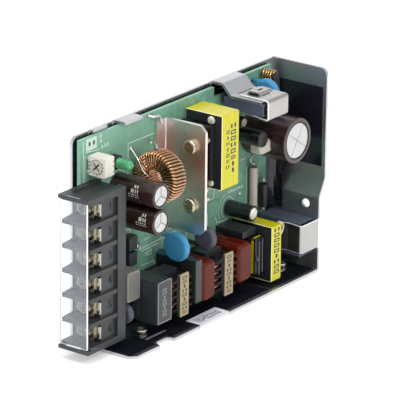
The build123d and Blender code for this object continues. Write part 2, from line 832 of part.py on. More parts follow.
def soft_box(start, size, low, radius, lift=0.0):
    """Moulded or dipped box that stands on the board, with round edges."""
    wide, deep, tall = size
    y = (board_face - lift, board_face - lift - deep)
    body = rounded(box((start, start + wide), y, (low, low + tall)), Axis.Y, radius)
    return fillet(body.faces().sort_by(Axis.Y)[0].edges(), radius * 0.6)


def choke(start):
    """Line choke: core, bobbin with its sections, two windings and the tape over the front."""
    wide, deep, tall = choke_size
    z = (choke_low, choke_low + tall)
    middle = start + wide / 2
    half = choke_winding / 2
    level = board_face - deep * 0.48
    legs = [start + half + 0.1, start + wide - half - 0.1]
    core_y = (level + choke_leg[1] / 2, level - choke_leg[1] / 2)
    core = box((legs[0] - choke_leg[0] / 2, legs[1] + choke_leg[0] / 2), core_y, z)
    room = (z[0] + choke_yoke, z[1] - choke_yoke)
    core -= box((legs[0] + choke_leg[0] / 2, legs[1] - choke_leg[0] / 2), (0, -width), room)
    step = (room[1] - room[0] - choke_flange) / choke_sections
    bobbin = box((middle - 2.0, middle + 2.0), (board_face - deep + 1.8, board_face - deep + 0.2), z)
    windings = []
    for leg in legs:
        hole = box((leg - choke_leg[0] / 2, leg + choke_leg[0] / 2), core_y, (z[0] - 1, z[1] + 1))
        tube_x_range = (leg - choke_leg[0] / 2 - 0.4, leg + choke_leg[0] / 2 + 0.4)
        shell = box(tube_x_range, (core_y[0] + 0.4, core_y[1] - 0.4), room)
        frame = shell
        for n in range(choke_sections + 1):
            low = room[0] + n * step
            flange_y = (board_face, board_face - deep + 1.0)
            frame += box((leg - half, leg + half), flange_y, (low, low + choke_flange))
        bobbin += frame - hole
        for n in range(choke_sections):
            low = room[0] + n * step + choke_flange
            pack_y = (board_face - 1.2, board_face - deep + 1.9)
            pack = box((leg - half + 0.5, leg + half - 0.5), pack_y, (low, low + step - choke_flange))
            windings.append(rounded(pack, Axis.Z, 1.6) - shell)
    top = board_face - deep + 0.2
    centre = middle + choke_label_shift
    span = (centre - choke_label / 2, centre + choke_label / 2)
    label = box(span, (top, top - 0.2), (z[0] - 0.1, z[1] + 0.1))
    for low in (z[0] - 0.1, z[1]):
        label += box(span, (top + choke_label_return, top), (low, low + 0.1))
    return core, bobbin, windings, label


def axial_parts():
    """Ceramic fuse tube and diode that lie on the board, with their bent leads."""
    leads = []
    y_tube = board_face - part_lift - tube_radius
    tube = rod("z", tube_radius, (tube_low, tube_low + tube_length), (tube_x, y_tube))
    y_diode = board_face - part_lift - diode_radius
    diode = rod("z", diode_radius, (diode_low, diode_low + diode_length), (diode_x, y_diode))
    diode = fillet(diode.edges().filter_by(GeomType.CIRCLE), 0.4)
    tube_ends = (tube_low, tube_low + tube_length)
    diode_ends = (diode_low, diode_low + diode_length)
    for x, y, ends in ((tube_x, y_tube, tube_ends), (diode_x, y_diode, diode_ends)):
        for end, way in ((ends[0], -1), (ends[1], 1)):
            points = [(x, y, end), (x, y, end + way * 1.9), (x, board_face, end + way * 1.9)]
            leads.append(tube_path(points, 0.35, 0.7))
    return tube, diode, leads


def filter_coil():
    """Open coil of enamelled wire on a ferrite rod."""
    y = (board_face - 0.9, board_face - 0.9 - coil_length)
    rod_core = rod("y", coil_radius - coil_wire - 0.1, (y[0], y[1]), (coil_x, coil_z))
    line = coil_radius - coil_wire / 2
    path = Helix(coil_length / coil_turns, coil_length - coil_wire, line)
    wound = sweep(Plane(origin=path @ 0, z_dir=path % 0) * Circle(coil_wire / 2), path=path)
    wound = Pos(coil_x, y[0] - coil_wire / 2, coil_z) * Rot(90, 0, 0) * wound
    tail = rod("y", coil_wire / 2 - 0.02, (board_face, y[0] - coil_wire / 2), (coil_x + line, coil_z))
    return wound + tail, rod_core + rod("y", 0.8, (board_face, y[0]), (coil_x, coil_z))


def adhesive_beads():
    """Beads of white adhesive: beside the bulk capacitor and on the main core."""
    radius = bulk_radius + 0.02
    bulk_x = length - bulk_from_end
    bead_y = (board_face - bead_low, board_face - bead_high)
    bead = box((bias_x - bead_past, bulk_x - bead_short), bead_y, (bulk_z - bead_below, bias_z - bead_above))
    bead = fillet(bead.edges(), 1.2)
    bead -= rod("y", radius, (0, -width), (bulk_x, bulk_z))
    bead -= rod("y", bias_radius + 0.02, (0, -width), (bias_x, bias_z))
    beads = bead.solids().sort_by(SortBy.VOLUME)[-1:]
    for z, dot_size in zip(adhesive_z, dot_radius):
        dot = rod("x", dot_size, (main_x - 1.0, main_x), (adhesive_y, z))
        beads.append(fillet(dot.edges().filter_by(GeomType.CIRCLE).sort_by(Axis.X)[0], 0.9))
    return beads


def end_film():
    """Film on the inner side of the end plate."""
    x = end_inner - film_clear
    return box((x - film, x), end_film_y, end_film_z)


def discs():
    """Two blue dipped discs, then the two power discs, and all their leads."""
    y_surge = board_face - surge_y - surge_radius
    found = []
    for x, z, radius, thickness, lift in (
        (*disc_lower, disc_radius, disc_thickness, disc_lift),
        (*disc_upper, disc_radius, disc_thickness, disc_upper_lift),
        (surge_x, surge_z, surge_radius, surge_thickness, y_surge),
        (inrush_x, inrush_z, inrush_radius, inrush_thickness, inrush_lift),
    ):
        found.append(dipped_disc(x, z, radius, thickness, lift))
    return [disc for disc, leads in found], [lead for disc, leads in found for lead in leads]


def lower_row():
    """Box capacitors and film capacitors of the lower row, by name."""
    choke_a = line_x + line_size[0] + choke_gap
    filter_x = choke_a + choke_size[0] + filter_gap
    film_a = filter_x + filter_size[0] + row_gap
    choke_b = film_a + film_a_size[0] + row_gap
    film_b = choke_b + choke_size[0] + row_gap
    flat = film_b + film_b_size[0] + flat_gap
    tan = line_x - tan_gap - tan_size[0]
    lines = [
        soft_box(line_x, line_size, line_low, 0.5),
        soft_box(filter_x, filter_size, filter_low, 0.4),
    ]
    films = [
        soft_box(film_a, film_a_size, film_a_low, 2.4, 0.6),
        soft_box(film_b, film_b_size, film_b_low, 2.8, 0.6),
    ]
    flat_body = soft_box(flat, flat_size, flat_low, 0.3)
    tan_body = soft_box(tan, tan_size, tan_low, 0.8)
    return choke_a, choke_b, lines, films, flat_body, tan_body


def optocouplers():
    """Two small couplers with their legs."""
    wide, deep, tall = coupler_size
    found = []
    for n in range(2):
        low = coupler_low + n * (tall + coupler_gap)
        y = (board_face - 0.5, board_face - 0.5 - deep)
        body = rounded(box((coupler_x, coupler_x + wide), y, (low, low + tall)), Axis.X, 0.3)
        for side in (coupler_x, coupler_x + wide):
            for z in (low + 1.4, low + tall - 1.4):
                outward = -1 if side == coupler_x else 1
                leg_x = (side - 0.2 * outward, side + 0.25 * outward)
                body += box(leg_x, (board_face, y[0] - 1.4), (z - 0.3, z + 0.3))
        found.append(body)
    return found


def small_capacitors():
    """Three small electrolytic capacitors."""
    sizes = (
        (bias_x, bias_z, bias_radius, bias_length),
        (supply_x, supply_z, supply_radius, supply_length),
        (bypass_x, bypass_z, bypass_radius, bypass_length),
    )
    found = [electrolytic(*size) for size in sizes]
    return [can for can, skin in found], [skin for can, skin in found]


def output_capacitors():
    """Two output capacitors, one above the other."""
    found = []
    for n in range(2):
        z = output_top_z - output_radius - n * (2 * output_radius + output_gap)
        found.append(electrolytic(output_x, z, output_radius, output_length))
    return [can for can, skin in found], [skin for can, skin in found]


nodes = {
    "chassis": chassis(),
    "insulating_film": insulating_film(),
    "end_film": end_film(),
    "edge_label": edge_label(),
    "circuit_board": board(),
    "board_spacers": board_spacers(),
    "board_screws": board_screws(),
    "clinch_nuts": clinch_nuts(),
    "terminal_strip": terminal_strip(),
    "terminal_plates": terminal_plates(),
    "terminal_washers": terminal_washers(),
    "terminal_screws": terminal_screws(),
    "terminal_cover": terminal_cover(),
}
nodes["trimmer_housing"], nodes["trimmer_dial"] = trimmer()
nodes["lamp_holder"], nodes["indicator_lamp"] = lamp()
nodes["output_capacitor_cans"], nodes["output_capacitor_sleeves"] = output_capacitors()
nodes["toroid_core"], nodes["toroid_winding"] = toroid()
nodes["heatsink_plate"] = heatsink()
nodes["heatsink_fixings"] = sink_fixings()
nodes["rectifier_bodies"], nodes["rectifier_tabs"] = rectifiers()
for name, values in (
    ("main_transformer", (main_x, main_core, main_low, main_winding_proud)),
    ("driver_transformer", (driver_x, driver_core, driver_low, driver_winding_proud)),
):
    pieces = transformer(*values)
    for part_name, piece in zip(("core", "bobbin", "winding", "tape"), pieces):
        nodes[f"{name}_{part_name}"] = piece
bulk = electrolytic(length - bulk_from_end, bulk_z, bulk_radius, bulk_length)
nodes["bulk_capacitor_can"], nodes["bulk_capacitor_sleeve"] = bulk
nodes["small_capacitor_cans"], nodes["small_capacitor_sleeves"] = small_capacitors()
nodes["adhesive_beads"] = adhesive_beads()
nodes["ceramic_fuse"], nodes["snubber_diode"], axial_leads = axial_parts()
all_discs, disc_leads = discs()
nodes["blue_disc_capacitors"] = all_discs[:2]
nodes["power_discs"] = all_discs[2:]
nodes["component_leads"] = axial_leads + disc_leads
nodes["filter_coil"], nodes["filter_coil_rod"] = filter_coil()
nodes["switch_clip"] = upper_clip()
nodes["bridge_clip"] = lower_clip()
(
    nodes["switch_boot"], nodes["switch_transistor"],
    nodes["bridge_boot"], nodes["bridge_rectifier"],
) = power_devices()
choke_a, choke_b, box_caps, film_caps, flat_cap, tan_cap = lower_row()
nodes["line_capacitors"] = box_caps
nodes["film_capacitors"] = film_caps
nodes["flat_capacitor"] = flat_cap
nodes["safety_capacitor"] = tan_cap
chokes = [choke(start) for start in (choke_a, choke_b)]
nodes["choke_cores"] = [found[0] for found in chokes]
nodes["choke_bobbins"] = [found[1] for found in chokes]
nodes["choke_windings"] = chokes[0][2] + chokes[1][2]
nodes["choke_labels"] = [found[3] for found in chokes]
nodes["optocouplers"] = optocouplers()


def gathered(item):
    """Every solid of a piece or of a list of pieces, in the row's own frame."""
    pieces = item if isinstance(item, list) else [item]
    solids = [solid for piece in pieces for solid in piece.solids()]
    whole = solids[0] if len(solids) == 1 else Compound(solids)
    return Pos(*(-v for v in origin)) * whole


if __name__ == "__main__":
    os.makedirs("parts", exist_ok=True)
    for name, item in nodes.items():
        export_step(gathered(item), f"parts/{name}.step")
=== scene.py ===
"""Open-frame power converter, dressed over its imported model."""

import math

import bpy
from bpy.props import FloatProperty, FloatVectorProperty, IntProperty, PointerProperty
from mathutils import Matrix, Vector


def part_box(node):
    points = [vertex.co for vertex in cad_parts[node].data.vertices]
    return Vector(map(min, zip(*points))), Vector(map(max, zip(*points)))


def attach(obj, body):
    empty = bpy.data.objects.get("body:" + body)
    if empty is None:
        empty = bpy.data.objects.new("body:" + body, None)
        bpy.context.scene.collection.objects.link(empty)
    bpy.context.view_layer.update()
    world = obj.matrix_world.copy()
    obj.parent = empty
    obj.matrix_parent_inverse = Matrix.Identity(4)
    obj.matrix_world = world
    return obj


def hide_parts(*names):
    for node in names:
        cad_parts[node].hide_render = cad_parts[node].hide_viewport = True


bl_info = {
    "name": "Power Converter",
    "version": (1, 0, 0),
    "blender": (4, 5, 0),
    "location": "View3D > Sidebar > Converter",
    "description": "Dresses an open-frame power converter and sets its stage",
    "category": "Object",
}

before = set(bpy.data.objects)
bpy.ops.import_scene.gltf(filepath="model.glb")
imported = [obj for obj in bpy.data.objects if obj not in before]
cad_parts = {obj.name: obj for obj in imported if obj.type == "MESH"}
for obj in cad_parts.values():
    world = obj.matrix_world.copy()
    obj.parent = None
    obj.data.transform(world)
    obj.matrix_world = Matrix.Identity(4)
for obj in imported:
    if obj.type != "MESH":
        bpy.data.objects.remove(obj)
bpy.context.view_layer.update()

MM = 0.001
# Millimetres from the lower terminal-end corner of the back plate to the model's origin.
CORNER = Vector((55.85, -13.75, 0.0))
# Directions: away from the terminals, towards the back plate, and up.
ALONG, BACK, UP = Vector((1, 0, 0)), Vector((0, 1, 0)), Vector((0, 0, 1))
WHITE = (1, 1, 1, 1)
# Millimetres between a face and the print on it.
LIFT = 0.02
# Corners of a four-sided face, in order.
QUAD = (0, 1, 2, 3)

# Camera: its place in metres, its angles round, above and rolled in degrees, and its lens in millimetres.
CAMERA_PLACE = (-1.03435, -0.77105, 0.5058)
CAMERA_ANGLES = (-53.43, 19.67, 0.625)
CAMERA_LENS = 329.8
# Soft lights: name, place and width in metres, and power in watts.
LIGHTS = (
    ("soft_box_front", (0.25, -1.15, 0.75), 0.8, 3.6),
    ("soft_box_above", (-0.25, -0.15, 1.15), 0.9, 7.0),
    ("soft_box_side", (-1.15, 0.25, 0.55), 0.7, 1.9),
    ("soft_box_back", (1.05, 0.80, 0.56), 0.95, 1.8),
    ("small_key", (-0.55, -1.05, 1.1), 0.14, 5.0),
)
# The point that every light faces, halfway up the case.
LIT_POINT = Vector((0, 0, 0.04))


def spot(x, y, z):
    """Place in metres of a point given in millimetres from the back plate's lower corner."""
    return (Vector((x, y, z)) - CORNER) * MM


def spots(route):
    """Places in metres of the points of a route given in the same millimetres."""
    return [spot(*point) for point in route]


def linear(code):
    """Linear colour of an sRGB hex value."""
    found = []
    for start in (1, 3, 5):
        value = int(code[start : start + 2], 16) / 255
        found.append(value / 12.92 if value <= 0.04045 else ((value + 0.055) / 1.055) ** 2.4)
    return tuple(found)


def colour(name, description, code):
    """Colour setting with its default from a hex value."""
    return FloatVectorProperty(
        name=name, description=description, subtype="COLOR", size=3, min=0, max=1, default=linear(code)
    )


def length(name, description, value):
    """Length setting in metres with its default from millimetres."""
    return FloatProperty(
        name=name, description=description, unit="LENGTH", subtype="DISTANCE", precision=5, default=value * MM
    )


class ConverterColours(bpy.types.PropertyGroup):
    """Colours of the converter's finishes."""

    sheet: colour("Sheet metal", "Plated chassis sheet", "#c2c4c8")
    film: colour("Insulating film", "Black film under and beside the board", "#14151d")
    mask: colour("Solder mask", "Green of the circuit board", "#68947f")
    print: colour("Board print", "Pale print on the circuit board", "#c9d8cf")
    strip: colour("Terminal strip", "Dark moulding of the terminals", "#2b2d30")
    trimmer: colour("Trimmer", "Off-white moulding of the trimmer", "#cfccc2")
    lamp: colour("Lamp", "Tinted lens of the lamp", "#5cb278")
    brown: colour("Brown sleeve", "Shrunk sleeve of the large capacitors", "#2c1a19")
    black: colour("Black sleeve", "Shrunk sleeve of the small capacitors", "#15161a")
    can: colour("Capacitor can", "Etched end of a capacitor can", "#c0c0c0")
    core: colour("Ring core", "Paint on the ring core", "#57561c")
    copper: colour("Copper wire", "Enamelled copper of the coils", "#cb9468")
    sink: colour("Heatsink", "Mill aluminium of the heatsink", "#dad8d4")
    tape: colour("Transformer tape", "Yellow polyester tape", "#c1ba0c")
    ferrite: colour("Ferrite", "Dark ceramic of the cores", "#25262a")
    dark: colour("Dark moulding", "Bobbins, packages and small dark parts", "#1b1c1f")
    boot: colour("Insulating boot", "Slate silicone sleeve over the power devices", "#4e5263")
    clip: colour("Spring clip", "Plated spring steel", "#aeacaa")
    box: colour("Box capacitor", "Dark moulded capacitor case", "#25282b")
    tan: colour("Tan case", "Greyish tan moulded case", "#6c6a62")
    red: colour("Film capacitor", "Red-brown dipped epoxy", "#521408")
    blue: colour("Disc capacitor", "Blue dipped epoxy", "#4188b2")
    grey: colour("Power disc", "Grey dipped coating", "#52535f")
    wrap: colour("Choke tape", "Tan paper tape of the chokes", "#998a6a")
    glue: colour("Adhesive", "Pale silicone adhesive", "#b9b8aa")
    fuse: colour("Fuse tube", "Ceramic tube of the fuse", "#b3a8a2")
    floor: colour("Floor", "Pale floor of the stage", "#f6f6f6")


class ConverterSizes(bpy.types.PropertyGroup):
    """Sizes of the details that the scene adds."""

    # The edge break is the band that carries the chassis sheet's painted edge highlight.
    edge: length("Edge break", "Width of the worn edge on the chassis sheet", 0.2)
    wire: length("Coil wire", "Thickness of the ring coil's wire", 0.84)
    turns: IntProperty(name="Turns", description="Turns of the ring coil", min=20, max=60, default=46)
    groove: length("Vent groove", "Width of the grooves on the capacitor ends", 0.4)
    print_line: length("Print line", "Width of the lines printed on the board", 0.3)
    digit: length("Pole number", "Height of the raised pole numbers", 4.4)


def colours():
    """The scene's colour settings."""
    return bpy.context.scene.converter_colours


def sizes():
    """The scene's size settings."""
    return bpy.context.scene.converter_sizes


def feed(node, sockets):
    """Give each socket of a node its value, or link the output that feeds it."""
    for name, value in sockets.items():
        if isinstance(value, bpy.types.NodeSocket):
            node.id_data.links.new(value, node.inputs[name])
        else:
            node.inputs[name].default_value = value


def add(tree, kind, sockets=None, **settings):
    """Add a shader node with its settings and what its sockets take."""
    made = tree.nodes.new("ShaderNode" + kind)
    for name, value in settings.items():
        setattr(made, name, value)
    feed(made, sockets or {})
    return made


def shade(base, factor):
    """Colour, or hex value of one, made lighter or darker, as four channels."""
    channels = linear(base) if isinstance(base, str) else base[:3]
    return tuple(min(1.0, channel * factor) for channel in channels) + (1.0,)


def blank(name, **sockets):
    """Material with a fresh tree, its shader and the object's own coordinates."""
    material = bpy.data.materials.get(name) or bpy.data.materials.new(name)
    material.use_nodes = True
    tree = material.node_tree
    tree.nodes.clear()
    shader = add(tree, "BsdfPrincipled")
    feed(shader, {socket.replace("_", " "): value for socket, value in sockets.items()})
    add(tree, "OutputMaterial", {"Surface": shader.outputs["BSDF"]})
    return material, tree, shader, add(tree, "TexCoord").outputs["Object"]


def blotches(tree, place, size, detail=2.0, stretch=(1, 1, 1)):
    """Pattern of blotches of about a size in millimetres, drawn out along an axis if asked."""
    scale = [part / (size * MM) for part in stretch]
    stretched = add(tree, "Mapping", {"Scale": scale, "Vector": place}).outputs["Vector"]
    return add(tree, "TexNoise", {"Scale": 1.0, "Detail": detail, "Vector": stretched}).outputs["Fac"]


# What a range node takes, in the order of the rows that fill it: a value, its old range and its new one.
RANGE = ("Value", "From Min", "From Max", "To Min", "To Max")
# The stretch of a blotch pattern that holds nearly all of its values.
MIDDLE = (0.3, 0.7)


def vary(tree, shader, patches, tints, grain=None, rough=None, height=None, depth=0.0):
    """Vary a shader by patterns: its colour and roughness between two, and a relief in millimetres."""
    tint = add(tree, "Mix", {"A": tints[0], "B": tints[1], "Factor": patches}, data_type="RGBA")
    feed(shader, {"Base Color": tint.outputs[2]})
    if rough:
        mapped = add(tree, "MapRange", dict(zip(RANGE, (grain, *MIDDLE, *rough))))
        feed(shader, {"Roughness": mapped.outputs["Result"]})
    if depth:
        bump = add(tree, "Bump", {"Strength": 1.0, "Distance": depth * MM, "Height": height})
        feed(shader, {"Normal": bump.outputs["Normal"]})


def finish(name, base, rough, mottle=(5.0, 0.10), grain=(0.3, 0.006), stretch=(1, 1, 1), **sockets):
    """Material with a mottled colour, uneven roughness and a fine grain, sized in millimetres."""
    material, tree, shader, place = blank(name, **sockets)
    blotch = blotches(tree, place, mottle[0], 3.0, stretch)
    fine = blotches(tree, place, grain[0], 2.0, stretch)
    tints = shade(base, 1 - mottle[1]), shade(base, 1 + mottle[1])
    vary(tree, shader, blotch, tints, fine, (rough * 0.8, rough * 1.2), fine, grain[1])
    return material


def plated_sheet():
    """Zinc-plated steel sheet, rolled: long faint rolling lines and soft cloudy reflections."""
    material, tree, shader, place = blank("zinc_plated_sheet", Metallic=1.0)
    base = colours().sheet
    lines = blotches(tree, place, 0.35, 2.0, (0.02, 1, 1))
    cloud = blotches(tree, place, 9.0, 3.0)
    vary(tree, shader, cloud, (shade(base, 0.88), shade(base, 1.05)), lines, (0.3, 0.46), lines, 0.004)
    return material


def black_film():
    """Glossy black polycarbonate film: a mirror-like face that waves slightly where it is folded."""
    material, tree, shader, place = blank("polycarbonate_film")
    base = colours().film
    wave = blotches(tree, place, 14.0, 1.0)
    scuff = blotches(tree, place, 1.2, 3.0)
    vary(tree, shader, scuff, (shade(base, 0.8), shade(base, 1.6)), scuff, (0.06, 0.16), wave, 0.25)
    return material


def solder_mask():
    """Epoxy board under a satin green mask: copper areas show through as paler, raised fields."""
    material, tree, shader, place = blank("solder_mask_board", IOR=1.5)
    base = colours().mask
    # Copper fields of about 7 mm with straight sides, and the gaps between them.
    fields = {"Scale": 1 / (7.0 * MM), "Randomness": 0.85, "Vector": place}
    cells = add(tree, "TexVoronoi", fields, distance="CHEBYCHEV").outputs["Color"]
    edges = add(tree, "TexVoronoi", fields, feature="DISTANCE_TO_EDGE").outputs["Distance"]
    # The mask is paler towards the terminals and the top, where it catches more light.
    axes = add(tree, "SeparateXYZ", {"Vector": place}).outputs
    filled, parted, near, high = (
        add(tree, "MapRange", dict(zip(RANGE, row))).outputs["Result"]
        for row in (
            (cells, 0.4, 0.6, 0.0, 1.0),
            (edges, 0.03, 0.06, 0.0, 1.0),
            (axes["X"], -0.058, 0.03, 1.0, 0.0),
            (axes["Z"], 0.02, 0.08, 0.0, 1.0),
        )
    )
    copper = add(tree, "Math", {0: filled, 1: parted}, operation="MULTIPLY").outputs[0]
    lit = add(tree, "Math", {0: near, 1: high}, operation="MULTIPLY").outputs[0]
    greens = {"A": shade(base, 0.86), "B": shade(base, 1.12), "Factor": copper}
    plain = add(tree, "Mix", greens, data_type="RGBA").outputs[2]
    speck = blotches(tree, place, 0.5)
    vary(tree, shader, lit, (plain, shade(base, 1.22)), speck, (0.26, 0.42), copper, 0.03)
    return material


def clear_cover():
    """Clear moulded polycarbonate: a thin window that shows only as a gleam and a bright rim."""
    material, tree, shader, place = blank("clear_polycarbonate", Roughness=0.04, Alpha=0.13, IOR=1.58)
    haze = blotches(tree, place, 4.0, 3.0)
    vary(tree, shader, haze, (shade("#ced6df", 1.0), shade("#e2e8f1", 1.0)))
    material.surface_render_method = "BLENDED"
    return material


def painted_glow_rim():
    """Cut edge of the clear cover: painted white with a faint painted glow, for the light that leaves it
    there.
    """
    return finish(
        "polycarbonate_rim_painted_glow", "#eef1f4", 0.25, (2.0, 0.04), Emission_Strength=0.25, Emission_Color=WHITE
    )


def copper_wire(name, base):
    """Enamelled copper wire: warm metal under a clear varnish that puddles darker in places."""
    material, tree, shader, place = blank(name, Metallic=1.0, Coat_Weight=1.0, Coat_Roughness=0.04)
    puddle = blotches(tree, place, 1.6, 3.0)
    vary(tree, shader, puddle, (shade(base, 0.5), shade(base, 1.3)), puddle, (0.12, 0.24))
    return material


def wound_copper():
    """Copper winding in layers: its turns are too fine to show, so soft bands stand in for them, a painted
    highlight on each crown and painted shade between.
    """
    material, tree, shader, place = blank("wound_copper", Metallic=1.0, Coat_Weight=0.4, Roughness=0.28)
    base = colours().copper
    # Bands of about 3.14 mm: at a scale of 1 the wave turns by twenty radians a metre.
    bands = {"Scale": math.tau / 20 / (math.pi * MM), "Distortion": 0.4, "Vector": place}
    turn = add(tree, "TexWave", bands, bands_direction="Z", wave_profile="SIN").outputs["Fac"]
    # The bands run from painted shade, darker than the copper, to a painted highlight paler than it.
    vary(tree, shader, turn, (shade(base, 0.35), shade(base, 1.3)), height=turn, depth=0.2)
    return material


def yellow_tape():
    """Polyester tape: glossy film wound in layers, whose edges make faint lines along the wrap."""
    material, tree, shader, place = blank(
        "polyester_tape", Specular_IOR_Level=0.35, Coat_Weight=0.1, Coat_Roughness=0.12
    )
    base = colours().tape
    wave = blotches(tree, place, 6.0)
    line = blotches(tree, place, 0.6, 1.0, (1, 0.03, 0.03))
    vary(tree, shader, line, (shade(base, 0.78), shade(base, 1.1)), wave, (0.22, 0.36), line, 0.05)
    return material


def green_lens():
    """Tinted clear epoxy lens: deep saturated green with a bright, smooth dome, and a faint painted glow in
    its own green.
    """
    base = colours().lamp
    # The lens's faint emission is a painted glow that brightens it.
    return finish(
        "tinted_epoxy_lens", base, 0.06, (0.9, 0.9), (0.8, 0.03),
        Transmission_Weight=0.35, IOR=1.5, Emission_Color=(*base, 1), Emission_Strength=0.1,
    )


def brushed_sink():
    """Mill-finish aluminium plate: fine vertical rolling lines, and a painted reflection of the copper coil,
    a warm cast across its middle.
    """
    material, tree, shader, place = blank("mill_aluminium", Metallic=1.0)
    line = blotches(tree, place, 0.3, 2.0, (1, 1, 0.04))
    cloud = blotches(tree, place, 7.0, 3.0, (1, 1, 2.0))
    height = add(tree, "SeparateXYZ", {"Vector": place}).outputs["Z"]
    # The painted reflection fades in and out with height, in metres, and is cloudy in between.
    above, below, cloudy = (
        add(tree, "MapRange", dict(zip(RANGE, row))).outputs["Result"]
        for row in (
            (height, 0.043, 0.052, 0.0, 1.0),
            (height, 0.070, 0.076, 1.0, 0.0),
            (cloud, *MIDDLE, 0.2, 1.0),
        )
    )
    band = add(tree, "Math", {0: above, 1: below}, operation="MULTIPLY").outputs[0]
    painted_reflection = add(tree, "Math", {0: band, 1: cloudy}, operation="MULTIPLY").outputs[0]
    # Plate colour, then the warm colour of the painted reflection.
    tints = shade(colours().sink, 1.0), shade("#e6c6be", 1.0)
    vary(tree, shader, painted_reflection, tints, line, (0.27, 0.39), line, 0.003)
    return material


def burnished():
    """Sheared metal edge drawn nearly white: a painted highlight for the light it gathers from all sides."""
    return finish("burnished_edge", "#f4f4f5", 0.5, (1.0, 0.04), Metallic=0.35)


def metal(name, base, rough, grain=0.5):
    """Small bright metal part."""
    return finish(name, base, rough, (1.5, 0.1), (grain, 0.004), Metallic=1.0)


def moulded(name, base, rough=0.5, grain=0.35, height=0.012):
    """Moulded plastic with the slight orange-peel of the tool."""
    return finish(name, base, rough, (4.0, 0.10), (grain, height))


def shrunk(name, base):
    """Shrunk PVC sleeve: tight glossy film with faint rings where it pulled in."""
    return finish(
        name, base, 0.24, (3.0, 0.16), (1.2, 0.02), (0.6, 1, 0.6), Coat_Weight=0.3, Coat_Roughness=0.1
    )


def dipped(name, base, rough=0.16):
    """Dipped epoxy: thick glossy skin that sags a little and stays uneven."""
    return finish(
        name, base, rough, (2.4, 0.16), (2.2, 0.08),
        Specular_IOR_Level=0.08, Coat_Weight=0.2, Coat_Roughness=0.03,
    )


def linked(name, data):
    """Object in the scene for a mesh, curve, light or camera."""
    made = bpy.data.objects.new(name, data)
    bpy.context.scene.collection.objects.link(made)
    return made


def hold(piece, body="converter"):
    """Let a piece move with its body."""
    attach(piece, body)
    return piece


def mesh_object(name, lots, material, smooth=False):
    """Object made of lots of points, in metres, and their faces."""
    points, faces = [], []
    for more_points, more_faces in lots:
        start = len(points)
        points.extend(tuple(point) for point in more_points)
        faces.extend(tuple(index + start for index in face) for face in more_faces)
    mesh = bpy.data.meshes.new(name)
    mesh.from_pydata(points, [], faces)
    mesh.validate()
    mesh.update()
    for polygon in mesh.polygons:
        polygon.use_smooth = smooth
    mesh.materials.append(material)
    return linked(name, mesh)


def mesh_piece(name, lots, material, smooth=False, body="converter"):
    """Mesh object, with its finish, that moves with its body."""
    return hold(mesh_object(name, lots, material, smooth), body)


def wire_piece(name, runs, radius, material, resolution=4):
    """Wires of a round section through lots of points, as one curve."""
    data = bpy.data.curves.new(name, "CURVE")
    data.dimensions = "3D"
    data.bevel_depth = radius
    data.bevel_resolution = 2
    data.use_fill_caps = True
    data.resolution_u = resolution
    for points in runs:
        spline = data.splines.new("NURBS")
        spline.points.add(len(points) - 1)
        for target, point in zip(spline.points, points):
            target.co = (*point, 1)
        spline.order_u = 3
        spline.use_endpoint_u = True
    data.materials.append(material)
    return hold(linked(name, data))


def soften(piece, width=0, segments=2):
    """Merge a mesh's split corners, round its edges by a width in millimetres and smooth its shading."""
    for polygon in piece.data.polygons:
        polygon.use_smooth = True
    if "custom_normal" in piece.data.attributes:
        piece.data.attributes.remove(piece.data.attributes["custom_normal"])
    piece.modifiers.new("weld", "WELD").merge_threshold = 2e-6
    if width:
        edge = piece.modifiers.new("edge", "BEVEL")
        edge.width = width * MM
        edge.segments = segments
        edge.limit_method = "ANGLE"
        edge.angle_limit = math.radians(38)
        edge.use_clamp_overlap = True
    normals = piece.modifiers.new("normals", "WEIGHTED_NORMAL")
    normals.keep_sharp = True
    return piece


def dress(node, material, width=0, rim=None, segments=2):
    """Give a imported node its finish, and softened edges that may have a finish of their own."""
    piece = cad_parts[node]
    piece.data.materials.clear()
    piece.data.materials.append(material)
    soften(piece, width, segments)
    if rim:
        piece.data.materials.append(rim)
        piece.modifiers["edge"].material = 1


def block(low, high):
    """Corner points and faces of a box between two places."""
    points = [(x, y, z) for x in (low[0], high[0]) for y in (low[1], high[1]) for z in (low[2], high[2])]
    return points, [(0, 1, 3, 2), (4, 6, 7, 5), (0, 4, 5, 1), (2, 3, 7, 6), (0, 2, 6, 4), (1, 5, 7, 3)]


def walls(count):
    """Faces that join a ring of points to the next ring of as many."""
    return [(k, (k + 1) % count, count + (k + 1) % count, count + k) for k in range(count)]


def full_turn(sides):
    """Angles of a whole turn in equal steps."""
    return [math.tau * n / sides for n in range(sides)]


def around(centre, radius, angles, side=ALONG):
    """Points round a centre at some angles, in the plane of a side direction and up."""
    return [centre + side * (radius * math.cos(a)) + UP * (radius * math.sin(a)) for a in angles]


def four_sided(middle, first_half, second_half):
    """Flat face from its middle and half of each side."""
    start, end = middle - second_half, middle + second_half
    return [start - first_half, start + first_half, end + first_half, end - first_half], [QUAD]


def flat_disc(centre, wide, tall, sides=40):
    """Round or oval face towards the front."""
    points = [centre + Vector((wide * math.cos(a), 0, tall * math.sin(a))) for a in full_turn(sides)]
    return points, [range(sides)]


def flat_ring(centre, inner, outer, side=ALONG):
    """Flat ring in the plane of a side direction and up."""
    steps = full_turn(48)
    return around(centre, inner, steps, side) + around(centre, outer, steps, side), walls(len(steps))


def circle(x, z, radius, sides=24, start=0.0, end=math.tau):
    """Points round a centre, as X and Z."""
    steps = [start + (end - start) * n / sides for n in range(sides + 1)]
    return [(x + radius * math.cos(a), z + radius * math.sin(a)) for a in steps]


def ink(points, y, width, rise=0.03):
    """Printed line on a face at a depth, through points given as X and Z, all in millimetres."""
    lots = []
    for (x0, z0), (x1, z1) in zip(points, points[1:]):
        along = Vector((x1 - x0, 0, z1 - z0)).normalized() * width / 2
        across = Vector((along.z, 0, -along.x))
        first, last = Vector((x0, y, z0)) - along, Vector((x1, y, z1)) + along
        ring = [first - across, first + across, last + across, last - across]
        corners = spots(ring) + [spot(point.x, y - rise, point.z) for point in ring]
        lots.append((corners, [(4, 5, 6, 7), *walls(4)]))
    return lots


